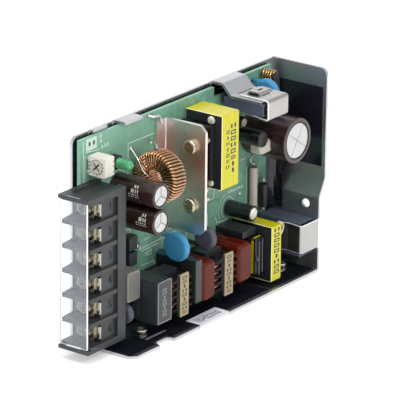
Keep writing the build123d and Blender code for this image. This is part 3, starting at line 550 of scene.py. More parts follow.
def vent_top(centre, radius, grooves, turn, gap):
    """Capped end of a can: flat sectors parted by vent grooves, facing the front."""
    # The sectors stop a little short of the rim and stand proud of the groove floor by 0.16 mm.
    reach, rise, steps = radius * 0.96, BACK * 0.16 * MM, 14
    lots = []
    for n in range(grooves):
        low, high = turn + math.tau * n / grooves, turn + math.tau * (n + 1) / grooves
        corner = around(centre, gap / 2 / math.sin((high - low) / 2), [(low + high) / 2])
        slip = math.asin(gap / 2 / reach)
        angles = [low + slip + (high - low - 2 * slip) * k / steps for k in range(steps + 1)]
        back = corner + around(centre, reach, angles)
        lots.append(([point - rise for point in back] + back, [range(len(back)), *walls(len(back))]))
    return lots


# Shapes that stand in for print, each of rectangles in shares of its width and height:
# a frame, a block, two bars along the row and two across it.
SHAPES = (
    ((0, 0, 1, 0.2), (0, 0.8, 1, 1), (0, 0.2, 0.26, 0.8), (0.74, 0.2, 1, 0.8)),
    ((0, 0.3, 1, 0.7),),
    ((0, 0, 1, 0.3), (0, 0.7, 1, 1)),
    ((0.1, 0, 0.36, 1), (0.62, 0, 0.88, 1)),
)


def stamped(corner, right, up, pattern, wide, tall, pitch, lift=LIFT):
    """Row of simple printed shapes on a flat face, each with a width, height and pitch in millimetres."""
    lots = []
    for n, kind in enumerate(pattern):
        start = corner + right * (pitch * n * MM) + right.cross(up) * (lift * MM)
        for u0, v0, u1, v1 in SHAPES[kind]:
            ring = ((u0, v0), (u1, v0), (u1, v1), (u0, v1))
            lots.append(([start + right * (wide * u * MM) + up * (tall * v * MM) for u, v in ring], [QUAD]))
    return lots


# Bars printed round a sleeve: where they start in degrees, how far in from the end, their height, and
# the widths of the bars in the row, in millimetres.
SLEEVE_ROWS = (
    (138, 2.2, 1.1, (0.7, 0.6)),
    (156, 1.1, 1.4, (1.3, 0.5, 0.5)),
    (177, 0.0, 0.6, (0.5, 0.4, 0.6, 0.4, 0.5)),
    (188, 0.2, 0.4, (0.6, 0.5, 0.4, 0.6, 0.4)),
)


def sleeve_marks(x, z, radius, start_y):
    """Rows of small pale bars that follow a sleeve's round side, in place of print."""
    lots = []
    for turn, inset, size, pattern in SLEEVE_ROWS:
        near = start_y - inset
        for wide in pattern:
            points = []
            for y in (near, near - wide):
                for k in range(4):
                    angle = math.radians(turn) + size / radius * k / 3
                    points.append(spot(x + radius * math.cos(angle), y, z + radius * math.sin(angle)))
            lots.append((points, [(k, k + 1, k + 5, k + 4) for k in range(3)]))
            near -= wide + 0.5
    return lots


class CONVERTER_OT_stage(bpy.types.Operator):
    """Set the floor, the soft lights and the camera"""

    bl_idname = "converter.stage"
    bl_label = "Stage"

    def execute(self, context):
        scene = context.scene
        # Matt paper floor: pale and even, with the faintest fibre.
        paper = finish(
            "matt_paper", colours().floor, 0.9, (30.0, 0.01), (0.5, 0.002),
            Emission_Color=WHITE, Emission_Strength=0.3,
        )
        reach = 3.0
        floor = mesh_object("floor", [four_sided(Vector(), ALONG * reach, BACK * reach)], paper)
        world = bpy.data.worlds.new("soft_white")
        world.use_nodes = True
        feed(world.node_tree.nodes["Background"], {"Color": WHITE, "Strength": 0.7})
        scene.world = world
        for name, place, size, power in LIGHTS:
            light = bpy.data.lights.new(name, "AREA")
            light.shape = "SQUARE"
            light.size = size
            light.energy = power
            lamp = linked(name, light)
            lamp.location = place
            lamp.rotation_euler = (LIT_POINT - Vector(place)).to_track_quat("-Z", "Y").to_euler()
        view = bpy.data.cameras.new("camera")
        view.sensor_width = 36.0
        view.lens = CAMERA_LENS
        view.clip_start = 0.05
        view.clip_end = 20.0
        camera = linked("camera", view)
        turn, rise, roll = (math.radians(angle) for angle in CAMERA_ANGLES)
        back = Vector((math.sin(turn) * math.cos(rise), -math.cos(turn) * math.cos(rise), math.sin(rise)))
        side = Vector((math.cos(turn), math.sin(turn), 0))
        top = back.cross(side)
        right = math.cos(roll) * side + math.sin(roll) * top
        up = -math.sin(roll) * side + math.cos(roll) * top
        facing = Matrix((right, up, back)).transposed().to_4x4()
        camera.matrix_world = Matrix.Translation(CAMERA_PLACE) @ facing
        scene.camera = camera
        scene.view_settings.view_transform = "Standard"
        return {"FINISHED"}


class CONVERTER_OT_chassis(bpy.types.Operator):
    """Finish the sheet chassis, the films, the label and the fixings"""

    bl_idname = "converter.chassis"
    bl_label = "Chassis and films"

    def execute(self, context):
        # The chassis edges carry a painted highlight: a nearly white band.
        dress("chassis", plated_sheet(), sizes().edge / MM, burnished())
        film = black_film()
        dress("insulating_film", film)
        dress("end_film", film)
        # Coated paper label: white, slightly sheened.
        dress("edge_label", finish("coated_paper_label", "#d2d2dd", 0.4, (3.0, 0.03)))
        low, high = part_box("edge_label")
        corner = Vector((low.x + 2.2 * MM, high.y - 5.1 * MM, high.z))
        rows = stamped(corner, ALONG, BACK, (3, 0, 1, 0, 2, 0, 3, 0), 1.2, 2.7, 1.75)
        rows += stamped(corner + BACK * 2.9 * MM, ALONG, BACK, (0, 2, 1, 3, 0, 1), 0.8, 0.8, 1.3)
        # Thermal-transfer ink: flat near-black shapes.
        mesh_piece("label_print", rows, finish("label_ink", "#24242c", 0.5, (0.8, 0.1)))
        # Nickel-plated steel: small bright fixings with soft reflections.
        nickel = metal("nickel_plated_steel", "#cfccc4", 0.22)
        dress("clinch_nuts", nickel, 0.15)
        dress("board_spacers", nickel)
        dress("board_screws", nickel, 0.1)
        return {"FINISHED"}


# Print on the board, as X and Z in millimetres from the back plate's corner: lines, round lines with their
# radius and any other sides and angles, and rows of strokes with their first and last X, Z and height.
PRINTED_LINES = (
    ((28.5, 57.0), (28.5, 72.2), (44.0, 72.2)),
    ((2.1, 41.0), (2.1, 79.6)),
    ((3.0, 41.0), (3.0, 74.0)),
    ((3.6, 75.4), (11.0, 74.6)),
    ((36.4, 28.6), (50.0, 29.3)),
    ((36.8, 27.5), (47.4, 27.9)),
    ((39.4, 26.2), (43.3, 26.4), (42.9, 25.0), (39.8, 25.2), (39.4, 26.2)),
    ((36.7, 21.9), (44.9, 21.6), (44.6, 17.6)),
    ((39.0, 31.6), (42.0, 31.9)),
    ((52.4, 27.0), (52.4, 32.6), (59.4, 32.6), (59.4, 27.0), (52.4, 27.0)),
    ((54.0, 29.8), (58.0, 29.8)),
    ((57.4, 34.0), (60.4, 33.6)),
    ((65.0, 22.4), (65.0, 33.6), (71.6, 33.6)),
    ((72.2, 25.4), (72.2, 31.0), (78.0, 31.0), (78.0, 25.4)),
    ((83.3, 27.7), (84.1, 25.4), (91.1, 25.0)),
    ((103.0, 26.8), (103.0, 43.0)),
    ((109.3, 26.8), (109.3, 40.4)),
    ((76.6, 36.0), (82.0, 36.0), (82.0, 43.0)),
    ((97.4, 46.0), (97.4, 51.6)),
    ((99.0, 46.6), (102.4, 46.6)),
    ((30.0, 41.6), (46.0, 41.6), (46.0, 35.8)),
    ((11.0, 40.6), (20.4, 40.6)),
    ((23.2, 24.6), (23.2, 38.6), (30.0, 38.6), (30.0, 24.6)),
    ((79.0, 47.0), (84.6, 47.0), (84.6, 50.6), (79.0, 50.6), (79.0, 47.0)),
    ((86.0, 55.0), (86.0, 62.4)),
)
PRINTED_ROUNDS = (
    (91.2, 29.7, 4.2), (91.2, 29.5, 6.0, 12, 1.9, 3.6), (22.0, 58.0, 5.6), (22.0, 47.8, 5.6),
    (93.7, 59.6, 3.9), (89.4, 66.2, 2.9), (62.0, 28.2, 3.0, 16),
)
PRINTED_STROKES = (
    (91.0, 100.4, 35.4, 0.8), (11.6, 13.2, 78.8, 1.4), (11.8, 13.0, 77.0, 1.2), (12.4, 16.4, 74.6, 1.3),
    (76.0, 81.0, 40.0, 0.9), (84.8, 89.6, 45.0, 0.9), (53.4, 58.6, 31.2, 0.7), (40.0, 44.0, 33.6, 0.8),
    (31.0, 36.4, 44.8, 1.0), (64.0, 70.0, 35.0, 0.8), (78.4, 83.4, 53.0, 0.8), (9.2, 14.0, 42.4, 0.9),
)
# Solder pads: X, Z and radius in the same millimetres.
PADS = (
    (30.4, 69.6, 1.1), (43.0, 69.2, 1.1), (11.0, 72.0, 0.8), (11.0, 69.4, 0.8), (26.0, 45.0, 0.8),
    (36.0, 41.0, 0.9), (41.0, 39.6, 0.9), (79.0, 58.0, 0.8), (84.0, 52.0, 0.9), (82.0, 47.0, 0.9),
    (78.0, 40.0, 0.8), (86.0, 38.0, 0.9), (96.0, 40.0, 0.8), (99.0, 33.0, 0.8), (118.0, 52.0, 0.7),
    (34.8, 30.0, 0.8),
)


class CONVERTER_OT_board(bpy.types.Operator):
    """Finish the circuit board, print its outlines and add its pads"""

    bl_idname = "converter.board"
    bl_label = "Circuit board"

    def execute(self, context):
        dress("circuit_board", solder_mask(), 0.1)
        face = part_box("circuit_board")[0].y / MM + CORNER.y
        lines = [*PRINTED_LINES, *(circle(*shape) for shape in PRINTED_ROUNDS)]
        for x, last, z, tall in PRINTED_STROKES:
            while x < last:
                lines.append([(x, z), (x + 0.5, z + tall)])
                lines.append([(x + 0.9, z), (x + 0.9, z + tall * 0.8)])
                x += 1.7
        width = sizes().print_line / MM
        printed = [lot for points in lines for lot in ink(points, face, width)]
        # Epoxy ink: flat pale marks printed on the mask.
        pale = finish("epoxy_ink", colours().print, 0.6, (1.0, 0.05))
        mesh_piece("board_print", printed, pale)
        patch = [block(spot(3.7, face, 75.7), spot(9.9, face - 0.04, 80.2))]
        white = finish("white_ink", "#bcd0c4", 0.6, (1.0, 0.04))
        mesh_piece("board_print_patch", patch, white)
        # Bare mask seen through two windows in the patch: dark green.
        holes = [flat_disc(spot(x, face - 0.07, 78.1), 0.62 * MM, 0.95 * MM) for x in (5.7, 8.2)]
        mesh_piece("board_print_windows", holes, finish("dark_mask", "#23503a", 0.5))
        self.pads(face)
        return {"FINISHED"}

    def pads(self, face):
        """Mound of solder on each pad: a ring that rises to a smaller flat top."""
        sides, top_share, rise = 20, 0.55, BACK * 0.3 * MM
        lots = []
        for x, z, radius in PADS:
            centre = spot(x, face - LIFT, z)
            foot = around(centre, radius * MM, full_turn(sides))
            top = around(centre - rise, radius * top_share * MM, full_turn(sides))
            lots.append((foot + top, [range(sides, 2 * sides), *walls(sides)]))
        # Tinned copper: solder-coated pads.
        mesh_piece("solder_pads", lots, metal("tinned_copper", "#b9bcb8", 0.3), True)


class CONVERTER_OT_terminals(bpy.types.Operator):
    """Finish the terminal strip, number its poles and make its clear cover"""

    bl_idname = "converter.terminals"
    bl_label = "Terminal strip"

    def execute(self, context):
        # Glass-filled polyester, moulded: dark, dry sheen with a fine texture.
        moulding = moulded("filled_polyester", colours().strip, 0.42, 0.5, 0.02)
        # Corners of the moulding are drawn a paler grey: a painted highlight along its edges.
        painted_highlight_grey = finish("filled_polyester_painted_highlight", "#63666b", 0.45, (2.0, 0.1))
        dress("terminal_strip", moulding, 0.16, painted_highlight_grey)
        # Nickel-plated brass plates: bright and slightly warm.
        dress("terminal_plates", metal("bright_nickel", "#aaa699", 0.15), 0.12)
        # Nickel-plated steel washers: paler and less smooth, with a painted highlight on their edges.
        dress("terminal_washers", metal("satin_nickel", "#c9c4b4", 0.2), 0.12, burnished())
        # Burnt nickel of the screw heads: brown-grey with bright worn patches.
        worn = finish("worn_nickel", "#726e62", 0.2, (1.3, 0.75), (0.6, 0.02), Metallic=1.0)
        # The screw heads' edges carry a painted highlight too.
        dress("terminal_screws", worn, 0.1, burnished())
        self.numbers(*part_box("terminal_strip"))
        self.cover(*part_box("terminal_strip"))
        return {"FINISHED"}

    def numbers(self, low, high):
        """Raise a number on the strip beside each pole."""
        # The same moulding on the raised numbers, drawn a little darker as painted shade so that they show.
        raised = moulded("polyester_numbers_painted_shade", "#17181a", 0.5, 0.5)
        poles, screw = 6, 6.2 * MM
        screws_low, screws_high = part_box("terminal_screws")
        pitch = (screws_high.z - screws_low.z - screw) / (poles - 1)
        for n in range(poles):
            data = bpy.data.curves.new(f"pole_number_{n + 1}", "FONT")
            data.body = str(poles - n)
            data.size = sizes().digit
            data.extrude = 0.2 * MM
            data.align_x = "CENTER"
            data.align_y = "CENTER"
            data.resolution_u = 3
            data.materials.append(raised)
            number = linked(f"pole_number_{n + 1}", data)
            number.location = (high.x - 7.6 * MM, low.y + 1.3 * MM, screws_low.z + screw / 2 + pitch * n)
            number.rotation_euler = (math.radians(90), 0, 0)
            hold(number)

    def cover(self, low, high):
        """Make the clear cover: a pane between the end fins, its rim and tabs in a painted glow, and its far
        edge.
        """
        cover_low, cover_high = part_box("terminal_cover")
        west, east = cover_low.x, cover_high.x
        front, back = cover_low.y, cover_high.y
        fin, edge = 1.6 * MM, 0.2 * MM
        bottom, top = low.z + fin, high.z - fin
        tab_front, tab_back = front + 3.0 * MM, back - 2.7 * MM
        pane = mesh_piece(
            "cover_pane", [block((west, front, bottom), (east, back, top))], clear_cover()
        )
        rim = [
            block((west, tab_front, cover_low.z), (east, tab_back, bottom)),
            block((west, tab_front, top), (east, tab_back, cover_high.z)),
            block((west + edge, front - edge / 2, bottom), (east - edge, front + edge, top)),
            block((west, front, bottom), (west + edge, back, bottom + edge / 2)),
            block((west, front, top - edge / 2), (west + edge, back, top)),
        ]
        # Rim and tabs: white, with a painted glow.
        mesh_piece("cover_rim", rim, painted_glow_rim())
        # Far edge of the same plastic, in shade: a thin blue-grey line.
        shaded = finish("polycarbonate_edge", "#8fa3bd", 0.3, (2.0, 0.04))
        far = [block((west, back - edge / 2, bottom), (west + edge, back, top))]
        mesh_piece("cover_far_edge", far, shaded)
        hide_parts("terminal_cover")


class CONVERTER_OT_trimmer(bpy.types.Operator):
    """Finish the trimmer and its dial, and mark its scale"""

    bl_idname = "converter.trimmer"
    bl_label = "Trimmer"

    def execute(self, context):
        # Polyamide, moulded: off-white, satin.
        dress("trimmer_housing", moulded("polyamide_housing", colours().trimmer, 0.45, 0.4), 0.18)
        dress("trimmer_dial", moulded("polyamide_dial", shade(colours().trimmer, 0.72), 0.4, 0.4), 0.1)
        low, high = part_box("trimmer_housing")
        dial_low, dial_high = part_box("trimmer_dial")
        centre = (dial_low + dial_high) / 2
        radius = (dial_high.z - dial_low.z) / 2
        face, tall = low.x - LIFT * MM, high.z - low.z
        middle = Vector((face, centre.y, centre.z))
        marks = []
        for n in range(11):
            angle = math.radians(-210 + 24 * n)
            way = Vector((0, -math.cos(angle), math.sin(angle)))
            across = Vector((0, -math.sin(angle), -math.cos(angle)))
            tick = middle + way * (radius + 0.65 * MM)
            marks.append(four_sided(tick, across * 0.11 * MM, way * 0.3 * MM))
        for share in (0.22, 0.5, 0.76):
            mark = Vector((high.x - 0.5 * MM, low.y - LIFT * MM, low.z + tall * share))
            marks.append(flat_disc(mark, 0.22 * MM, 0.3 * MM, 10))
        for share in (0.12, 0.3, 0.48, 0.68):
            mark = Vector((face, high.y - 1.0 * MM, low.z + tall * share))
            marks.append(four_sided(mark, BACK * 0.25 * MM, UP * 0.3 * MM))
        # Thin dark ring round the dial: painted shade in the groove there.
        marks.append(flat_ring(middle, radius + 0.02 * MM, radius + 0.24 * MM, BACK))
        # Pad-printed ink: charcoal, dry. The same charcoal also paints shade: the ring round the dial and the
        # cross in its slot.
        ink_and_painted_shade = moulded("scale_ink_and_painted_shade", "#2c2a28", 0.6)
        mesh_piece("trimmer_scale", marks, ink_and_painted_shade)
        # Dark cross in the dial's slot: painted shade.
        middle = Vector((dial_low.x + 0.3 * MM, centre.y, centre.z))
        arms = []
        for angle in (math.radians(45), math.radians(-45)):
            along = Vector((0, math.cos(angle), math.sin(angle))) * (radius * 0.74)
            across = Vector((0, -math.sin(angle), math.cos(angle))) * 0.42 * MM
            arms.append(four_sided(middle, along, across))
        mesh_piece("dial_slot_painted_shade", arms, ink_and_painted_shade, body="dial")
        return {"FINISHED"}


class CONVERTER_OT_lamp(bpy.types.Operator):
    """Finish the indicator lamp and its holder"""

    bl_idname = "converter.lamp"
    bl_label = "Indicator lamp"

    def execute(self, context):
        dress("indicator_lamp", green_lens())
        # Polyamide holder: plain black moulding.
        dress("lamp_holder", moulded("black_polyamide", colours().dark, 0.5), 0.12)
        return {"FINISHED"}


# Small capacitors: X and Z in millimetres from the back plate's corner, radius, height and grey of the end.
SMALL_CAPACITORS = (
    (93.7, 59.6, 3.2, 14.4, "#77706f"),
    (91.4, 29.7, 3.1, 12.2, "#e4e4e2"),
    (89.4, 66.2, 2.2, 8.6, "#d9cdc9"),
)
# Depth of the board's face from the back plate's corner, in millimetres.
BOARD_FACE = -4.6
# A small capacitor's end lies inside its sleeve by this inset, and its sleeve has this thickness.
SMALL_INSET, SMALL_SLEEVE = 0.28, 0.3
# Shares of the radius: each can's capped end, the bulk can's groove floor and a sleeve's mouth.
OUTPUT_END, BULK_END, SMALL_END, BULK_FLOOR, MOUTH = 0.83, 0.82, 0.82, 0.55, 0.79


class CONVERTER_OT_capacitors(bpy.types.Operator):
    """Finish the round capacitors, cut the vents in their ends and print their sleeves"""

    bl_idname = "converter.capacitors"
    bl_label = "Round capacitors"

    def execute(self, context):
        brown = shrunk("shrunk_pvc_brown", colours().brown)
        black = shrunk("shrunk_pvc_black", colours().black)
        # Etched aluminium: silvery white, almost matt.
        etched = metal("etched_aluminium", colours().can, 0.38, 0.3)
        for name, sleeve in (
            ("output_capacitor_{}s", brown), ("bulk_capacitor_{}", brown), ("small_capacitor_{}s", black)
        ):
            dress(name.format("can"), etched)
            dress(name.format("sleeve"), sleeve)
        groove = sizes().groove
        tops, floors, mouths = [], [], []
        for centre, radius in self.ends("output_capacitor_cans", LIFT):
            reach = radius * OUTPUT_END
            tops += vent_top(centre, reach, 3, math.radians(90), groove * 0.8)
            floors.append(flat_disc(centre, reach, reach))
        for centre, radius in self.ends("bulk_capacitor_can", LIFT):
            reach = radius * BULK_END
            tops += vent_top(centre, reach, 4, math.radians(56), groove * 0.55)
            floors.append(flat_disc(centre, reach * BULK_FLOOR, reach * BULK_FLOOR))
        mesh_piece("capacitor_vents", tops, etched)
        for n, (x, z, radius, tall, grey) in enumerate(SMALL_CAPACITORS):
            centre = spot(x, BOARD_FACE - tall + SMALL_INSET, z)
            reach = (radius - SMALL_SLEEVE) * SMALL_END * MM
            # Etched aluminium end: each of the three has its own grey.
            lid = metal(f"etched_end_{n + 1}", grey, 0.4, 0.3)
            top = vent_top(centre, reach, 2, math.radians(40), groove * 0.7)
            mesh_piece(f"small_capacitor_vent_{n + 1}", top, lid)
            floors.append(flat_disc(centre, reach, reach))
        # Groove bottoms: the same metal drawn darker as painted shade in the grooves.
        shaded = metal("etched_aluminium_shade", "#7f7f80", 0.6, 0.3)
        mesh_piece("capacitor_vent_grooves", floors, shaded)
        for node, width in (("bulk_capacitor_sleeve", 0.4), ("output_capacitor_sleeves", 0.3)):
            for centre, radius in self.ends(node, 0.03):
                mouths.append(flat_ring(centre, radius * MOUTH, radius * MOUTH + width * MM))
        # Sleeve mouth in shade: a black line where it leaves the can.
        mesh_piece("sleeve_mouths", mouths, moulded("sleeve_shadow", "#0c0a0b", 0.6))
        # Sleeve print: pale silver ink.
        pale = finish("silver_ink", "#b9b6ae", 0.45, (0.6, 0.1))
        marks = sleeve_marks(22.0, 58.05, 4.97, -13.6) + sleeve_marks(22.0, 47.8, 4.97, -17.2)
        mesh_piece("sleeve_print", marks, pale)
        return {"FINISHED"}

    def ends(self, node, lift):
        """Middle of the front end and radius of each round part in a node: one, or two in a column."""
        low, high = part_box(node)
        radius = (high.x - low.x) / 2
        heights = (low.z + radius, high.z - radius) if node.endswith("s") else ((low.z + high.z) / 2,)
        return [(Vector(((low.x + high.x) / 2, low.y - lift * MM, z)), radius) for z in heights]


# Radius of the ring core's hole as a share of its outer radius.
HOLE_SHARE = 5.0 / 8.9
# Tails of the ring coil, from the board's face to the coil, in millimetres from the back plate's corner.
COIL_TAILS = (
    ((30.0, -4.6, 70.0), (29.8, -6.3, 68.5), (29.7, -8.6, 66.0), (29.7, -10.1, 63.0), (29.8, -11.9, 61.4),
     (31.0, -12.6, 60.4), (33.4, -12.8, 60.0)),
    ((40.8, -4.6, 70.8), (40.9, -6.6, 70.4), (38.4, -9.2, 71.3), (36.4, -11.6, 71.1), (34.6, -13.2, 70.1)),
)


class CONVERTER_OT_toroid(bpy.types.Operator):
    """Finish the ring core and wind its coil"""

    bl_idname = "converter.toroid"
    bl_label = "Ring coil"

    def execute(self, context):
        # Powdered-iron core: thick yellow-green paint.
        dress("toroid_core", moulded("painted_iron_powder", colours().core, 0.4))
        wire = sizes().wire
        copper = copper_wire("enamelled_copper", colours().copper)
        coil = wire_piece("ring_coil", [self.turns(wire)], wire / 2, copper, 3)
        # Tinned copper: the stripped, solder-dipped tails.
        tinned = metal("tinned_copper_wire", "#d3d2cf", 0.24)
        wire_piece("coil_tails", [spots(tail) for tail in COIL_TAILS], wire / 2, tinned)
        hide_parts("toroid_winding")
        return {"FINISHED"}

    def turns(self, wire):
        """Route of the wire round the core: every other turn lies on top of its neighbours in the hole."""
        low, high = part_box("toroid_core")
        centre = (low + high) / 2
        outer, half = (high.z - low.z) / 2, (high.x - low.x) / 2
        inner = outer * HOLE_SHARE
        gap = wire / 2 + 0.1 * MM
        turns = sizes().turns
        step, start = math.tau / turns, math.radians(106.0)
        far, side, cut = outer + gap + 0.3 * MM, half + gap, 0.9 * MM
        path = []
        for n in range(turns):
            layer = n % 2
            near, lift = inner - gap - layer * wire, side + layer * 0.4 * wire
            # One turn, as places across the ring and out from its middle, with every corner cut.
            corners = (
                (-lift, near + cut), (-side, (near + far) / 2), (-side, far - cut),
                (-side + cut * 0.3, far - cut * 0.3), (-side + cut, far), (0, far), (side - cut, far),
                (side - cut * 0.3, far - cut * 0.3), (side, far - cut), (side, (near + far) / 2),
                (lift, near + cut), (lift - cut * 0.3, near + cut * 0.3), (side - cut, near), (0, near),
                (-side + cut, near), (-lift + cut * 0.3, near + cut * 0.3),
            )
            for k, (x, r) in enumerate(corners):
                # The wire moves on to the next turn along the outside.
                angle = start + step * (n + min(max((k - 3) / 6, 0), 1))
                path.append(centre + Vector((x, r * math.cos(angle), r * math.sin(angle))))
        return path


# Solder lug beside the heatsink, in millimetres from the back plate's corner.
LUG = (
    (40.2, -4.7, 80.0), (41.5, -6.0, 79.4), (43.4, -6.2, 79.1), (44.8, -6.4, 79.1), (46.0, -6.4, 77.8),
    (45.8, -6.4, 76.7), (46.8, -6.5, 75.8),
)


class CONVERTER_OT_heatsink(bpy.types.Operator):
    """Finish the heatsink, its rectifiers and their fixings"""

    bl_idname = "converter.heatsink"
    bl_label = "Heatsink"

    def execute(self, context):
        # The plate's edges carry a painted highlight: a nearly white band.
        dress("heatsink_plate", brushed_sink(), 0.22, burnished())
        # Passivated steel: pale gold zinc plating.
        dress("heatsink_fixings", metal("yellow_zinc_steel", "#bab39d", 0.3), 0.12)
        # Epoxy package: matt black moulding compound.
        dress("rectifier_bodies", moulded("epoxy_package", colours().dark, 0.45), 0.1)
        # Tinned copper tabs and leads: pale grey, softly bright.
        dress("rectifier_tabs", metal("tinned_lead", "#bfc0bd", 0.28), 0.06)
        # Solder lug: tinned copper, bright where it bends.
        wire_piece("heatsink_lug", [spots(LUG)], 0.55 * MM, metal("tinned_lug", "#dedbdd", 0.3))
        return {"FINISHED"}


# Rows printed on the tapes: node, start as a share of its width, drop from its top in millimetres, shapes,
# and their width, height and pitch.
TAPE_ROWS = (
    ("main_transformer_tape", 0.52, 4.4, (2, 0, 0, 2, 0, 3, 1, 1), 1.7, 3.1, 2.5),
    ("main_transformer_tape", 0.26, 6.4, (0, 1, 2, 1, 0, 3, 2), 1.4, 1.9, 2.3),
    ("driver_transformer_tape", 0.26, 0.9, (2, 0, 0, 0, 0, 1, 2, 0, 0), 1.45, 3.3, 2.14),
)
# Band of tape round the driver transformer's winding, as X and Z in millimetres from the back plate's corner.
BAND = ((92.8, 21.12), (89.2, 21.12), (88.3, 20.8), (87.8, 20.1), (87.68, 19.2), (87.68, 6.9))
# Pins down the driver transformer's front flange and its sleeved lead-out, in the same millimetres.
DRIVER_PINS = (
    ((89.6, -20.75, 20.0), (89.6, -20.75, 6.4)),
    ((91.7, -20.75, 20.6), (91.7, -20.75, 7.0)),
    ((88.4, -20.7, 14.2), (88.0, -20.8, 12.9), (88.7, -20.8, 12.1), (89.3, -20.8, 13.0)),
)
LEAD_OUT = (
    (99.6, -22.6, 25.3), (101.0, -22.4, 24.9), (102.9, -22.2, 23.6), (103.6, -22.0, 21.9),
    (102.8, -21.8, 20.0), (101.4, -21.4, 18.6), (100.4, -20.8, 17.6),
)


class CONVERTER_OT_transformers(bpy.types.Operator):
    """Finish both transformers, print their tape and add the driver's pins"""

    bl_idname = "converter.transformers"
    bl_label = "Transformers"

    def execute(self, context):
        tape = yellow_tape()
        # Fold of the tape where it turns a corner: drawn pale as a painted highlight.
        painted_fold_highlight = finish("polyester_tape_painted_highlight", "#fdf8bd", 0.4, (1.0, 0.05))
        # Sintered ferrite: dark grey ceramic, ground smooth.
        ferrite = moulded("sintered_ferrite", colours().ferrite, 0.35, 0.3)
        # Phenolic bobbin: dense black moulding.
        phenolic = moulded("phenolic_bobbin", colours().dark, 0.38, 0.5)
        # Wound film over the coil: black, glossy, slightly ridged.
        wrapped = finish("wrapped_film", colours().dark, 0.3, (2.0, 0.3), (2.0, 0.01), (1, 0.1, 1))
        for name in ("main_transformer", "driver_transformer"):
            dress(f"{name}_core", ferrite, 0.12)
            dress(f"{name}_bobbin", phenolic, 0.12)
            dress(f"{name}_tape", tape, 0.14, painted_fold_highlight, 1)
            dress(f"{name}_winding", wrapped, 0.3)
        rows = []
        for node, shift, drop, *shapes in TAPE_ROWS:
            low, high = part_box(node)
            corner = Vector((low.x + (high.x - low.x) * shift, low.y, high.z - drop * MM))
            rows += stamped(corner, -UP, ALONG, *shapes)
        # Tape print: dark blue-black ink in simple shapes.
        mesh_piece("tape_print", rows, finish("tape_ink", "#24262f", 0.5, (0.8, 0.1)))
        front, back = -19.68, -18.5
        band = []
        for (x0, z0), (x1, z1) in zip(BAND, BAND[1:]):
            ring = ((x0, back, z0), (x1, back, z1), (x1, front, z1), (x0, front, z0))
            band.append((spots(ring), [QUAD]))
        mesh_piece("driver_winding_band", band, tape)
        # Tinned pins of the bobbin: dull grey rods down the front flange.
        pins = [spots(pin) for pin in DRIVER_PINS]
        wire_piece("driver_pins", pins, 0.42 * MM, metal("dull_pin", "#5f6062", 0.5))
        # Lead-out in a woven sleeve: pale beige, matt.
        woven = finish("woven_sleeve", "#bdb5a4", 0.7, (0.6, 0.2))
        wire_piece("driver_lead_out", [spots(LEAD_OUT)], 0.5 * MM, woven)
        return {"FINISHED"}


# Side of the bridge pressed out of the upper clip: millimetres in from its back and up from its top.
CLIP_BRIDGE = ((1.9, 0.0), (3.0, 1.1), (7.0, 1.1), (8.2, 0.0), (7.6, 0.0), (6.8, 0.7), (3.3, 0.7), (2.5, 0.0))
# Punched openings, in millimetres: shifts of their two ends from the bridge's ends, then their range from
# the clip's back and from its top.
CLIP_OPENINGS = (
    (2.6, -2.4, -5.6, -4.4, 1.08, 1.13),
    (-0.9, -0.3, -7.6, -2.4, -0.01, 0.03),
    (-1.0, 0.6, 1.3, 1.9, -0.68, -0.64),
)


class CONVERTER_OT_clips(bpy.types.Operator):
    """Finish the spring clips, the boots and the devices under them"""

    bl_idname = "converter.clips"
    bl_label = "Clips and power devices"

    def execute(self, context):
        # Nickel-plated spring steel: bright, with long soft reflections.
        spring = metal("plated_spring_steel", colours().clip, 0.34, 4.0)
        # Silicone boot: slate, rubbery sheen.
        silicone = finish(
            "silicone_boot", colours().boot, 0.38, (3.0, 0.12), (0.6, 0.02), Specular_IOR_Level=0.4
        )
        for place in ("switch", "bridge"):
            # Each clip's edges carry a painted highlight: a nearly white band.
            dress(f"{place}_clip", spring, 0.24, burnished())
            dress(f"{place}_boot", silicone, 0.15)
        # Epoxy packages under the boots: dark and plain.
        package = moulded("power_package", colours().dark, 0.42)
        dress("switch_transistor", package, 0.1)
        dress("bridge_rectifier", package, 0.1)
        low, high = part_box("switch_clip")
        start, end = low.x + 2.8 * MM, high.x - 2.2 * MM
        points = [Vector((x, high.y - y * MM, high.z + z * MM)) for x in (start, end) for y, z in CLIP_BRIDGE]
        count = len(CLIP_BRIDGE)
        faces = [range(count), range(2 * count - 1, count - 1, -1), *walls(count)]
        soften(mesh_piece("clip_bridge", [(points, faces)], spring), 0.1)
        openings = []
        for x0, x1, y0, y1, z0, z1 in CLIP_OPENINGS:
            near = (start + x0 * MM, high.y + y0 * MM, high.z + z0 * MM)
            openings.append(block(near, (end + x1 * MM, high.y + y1 * MM, high.z + z1 * MM)))
        # Punched openings in the spring: unlit, nearly black.
        mesh_piece("clip_openings", openings, moulded("punched_shadow", "#1a1a1c", 0.7))
        return {"FINISHED"}


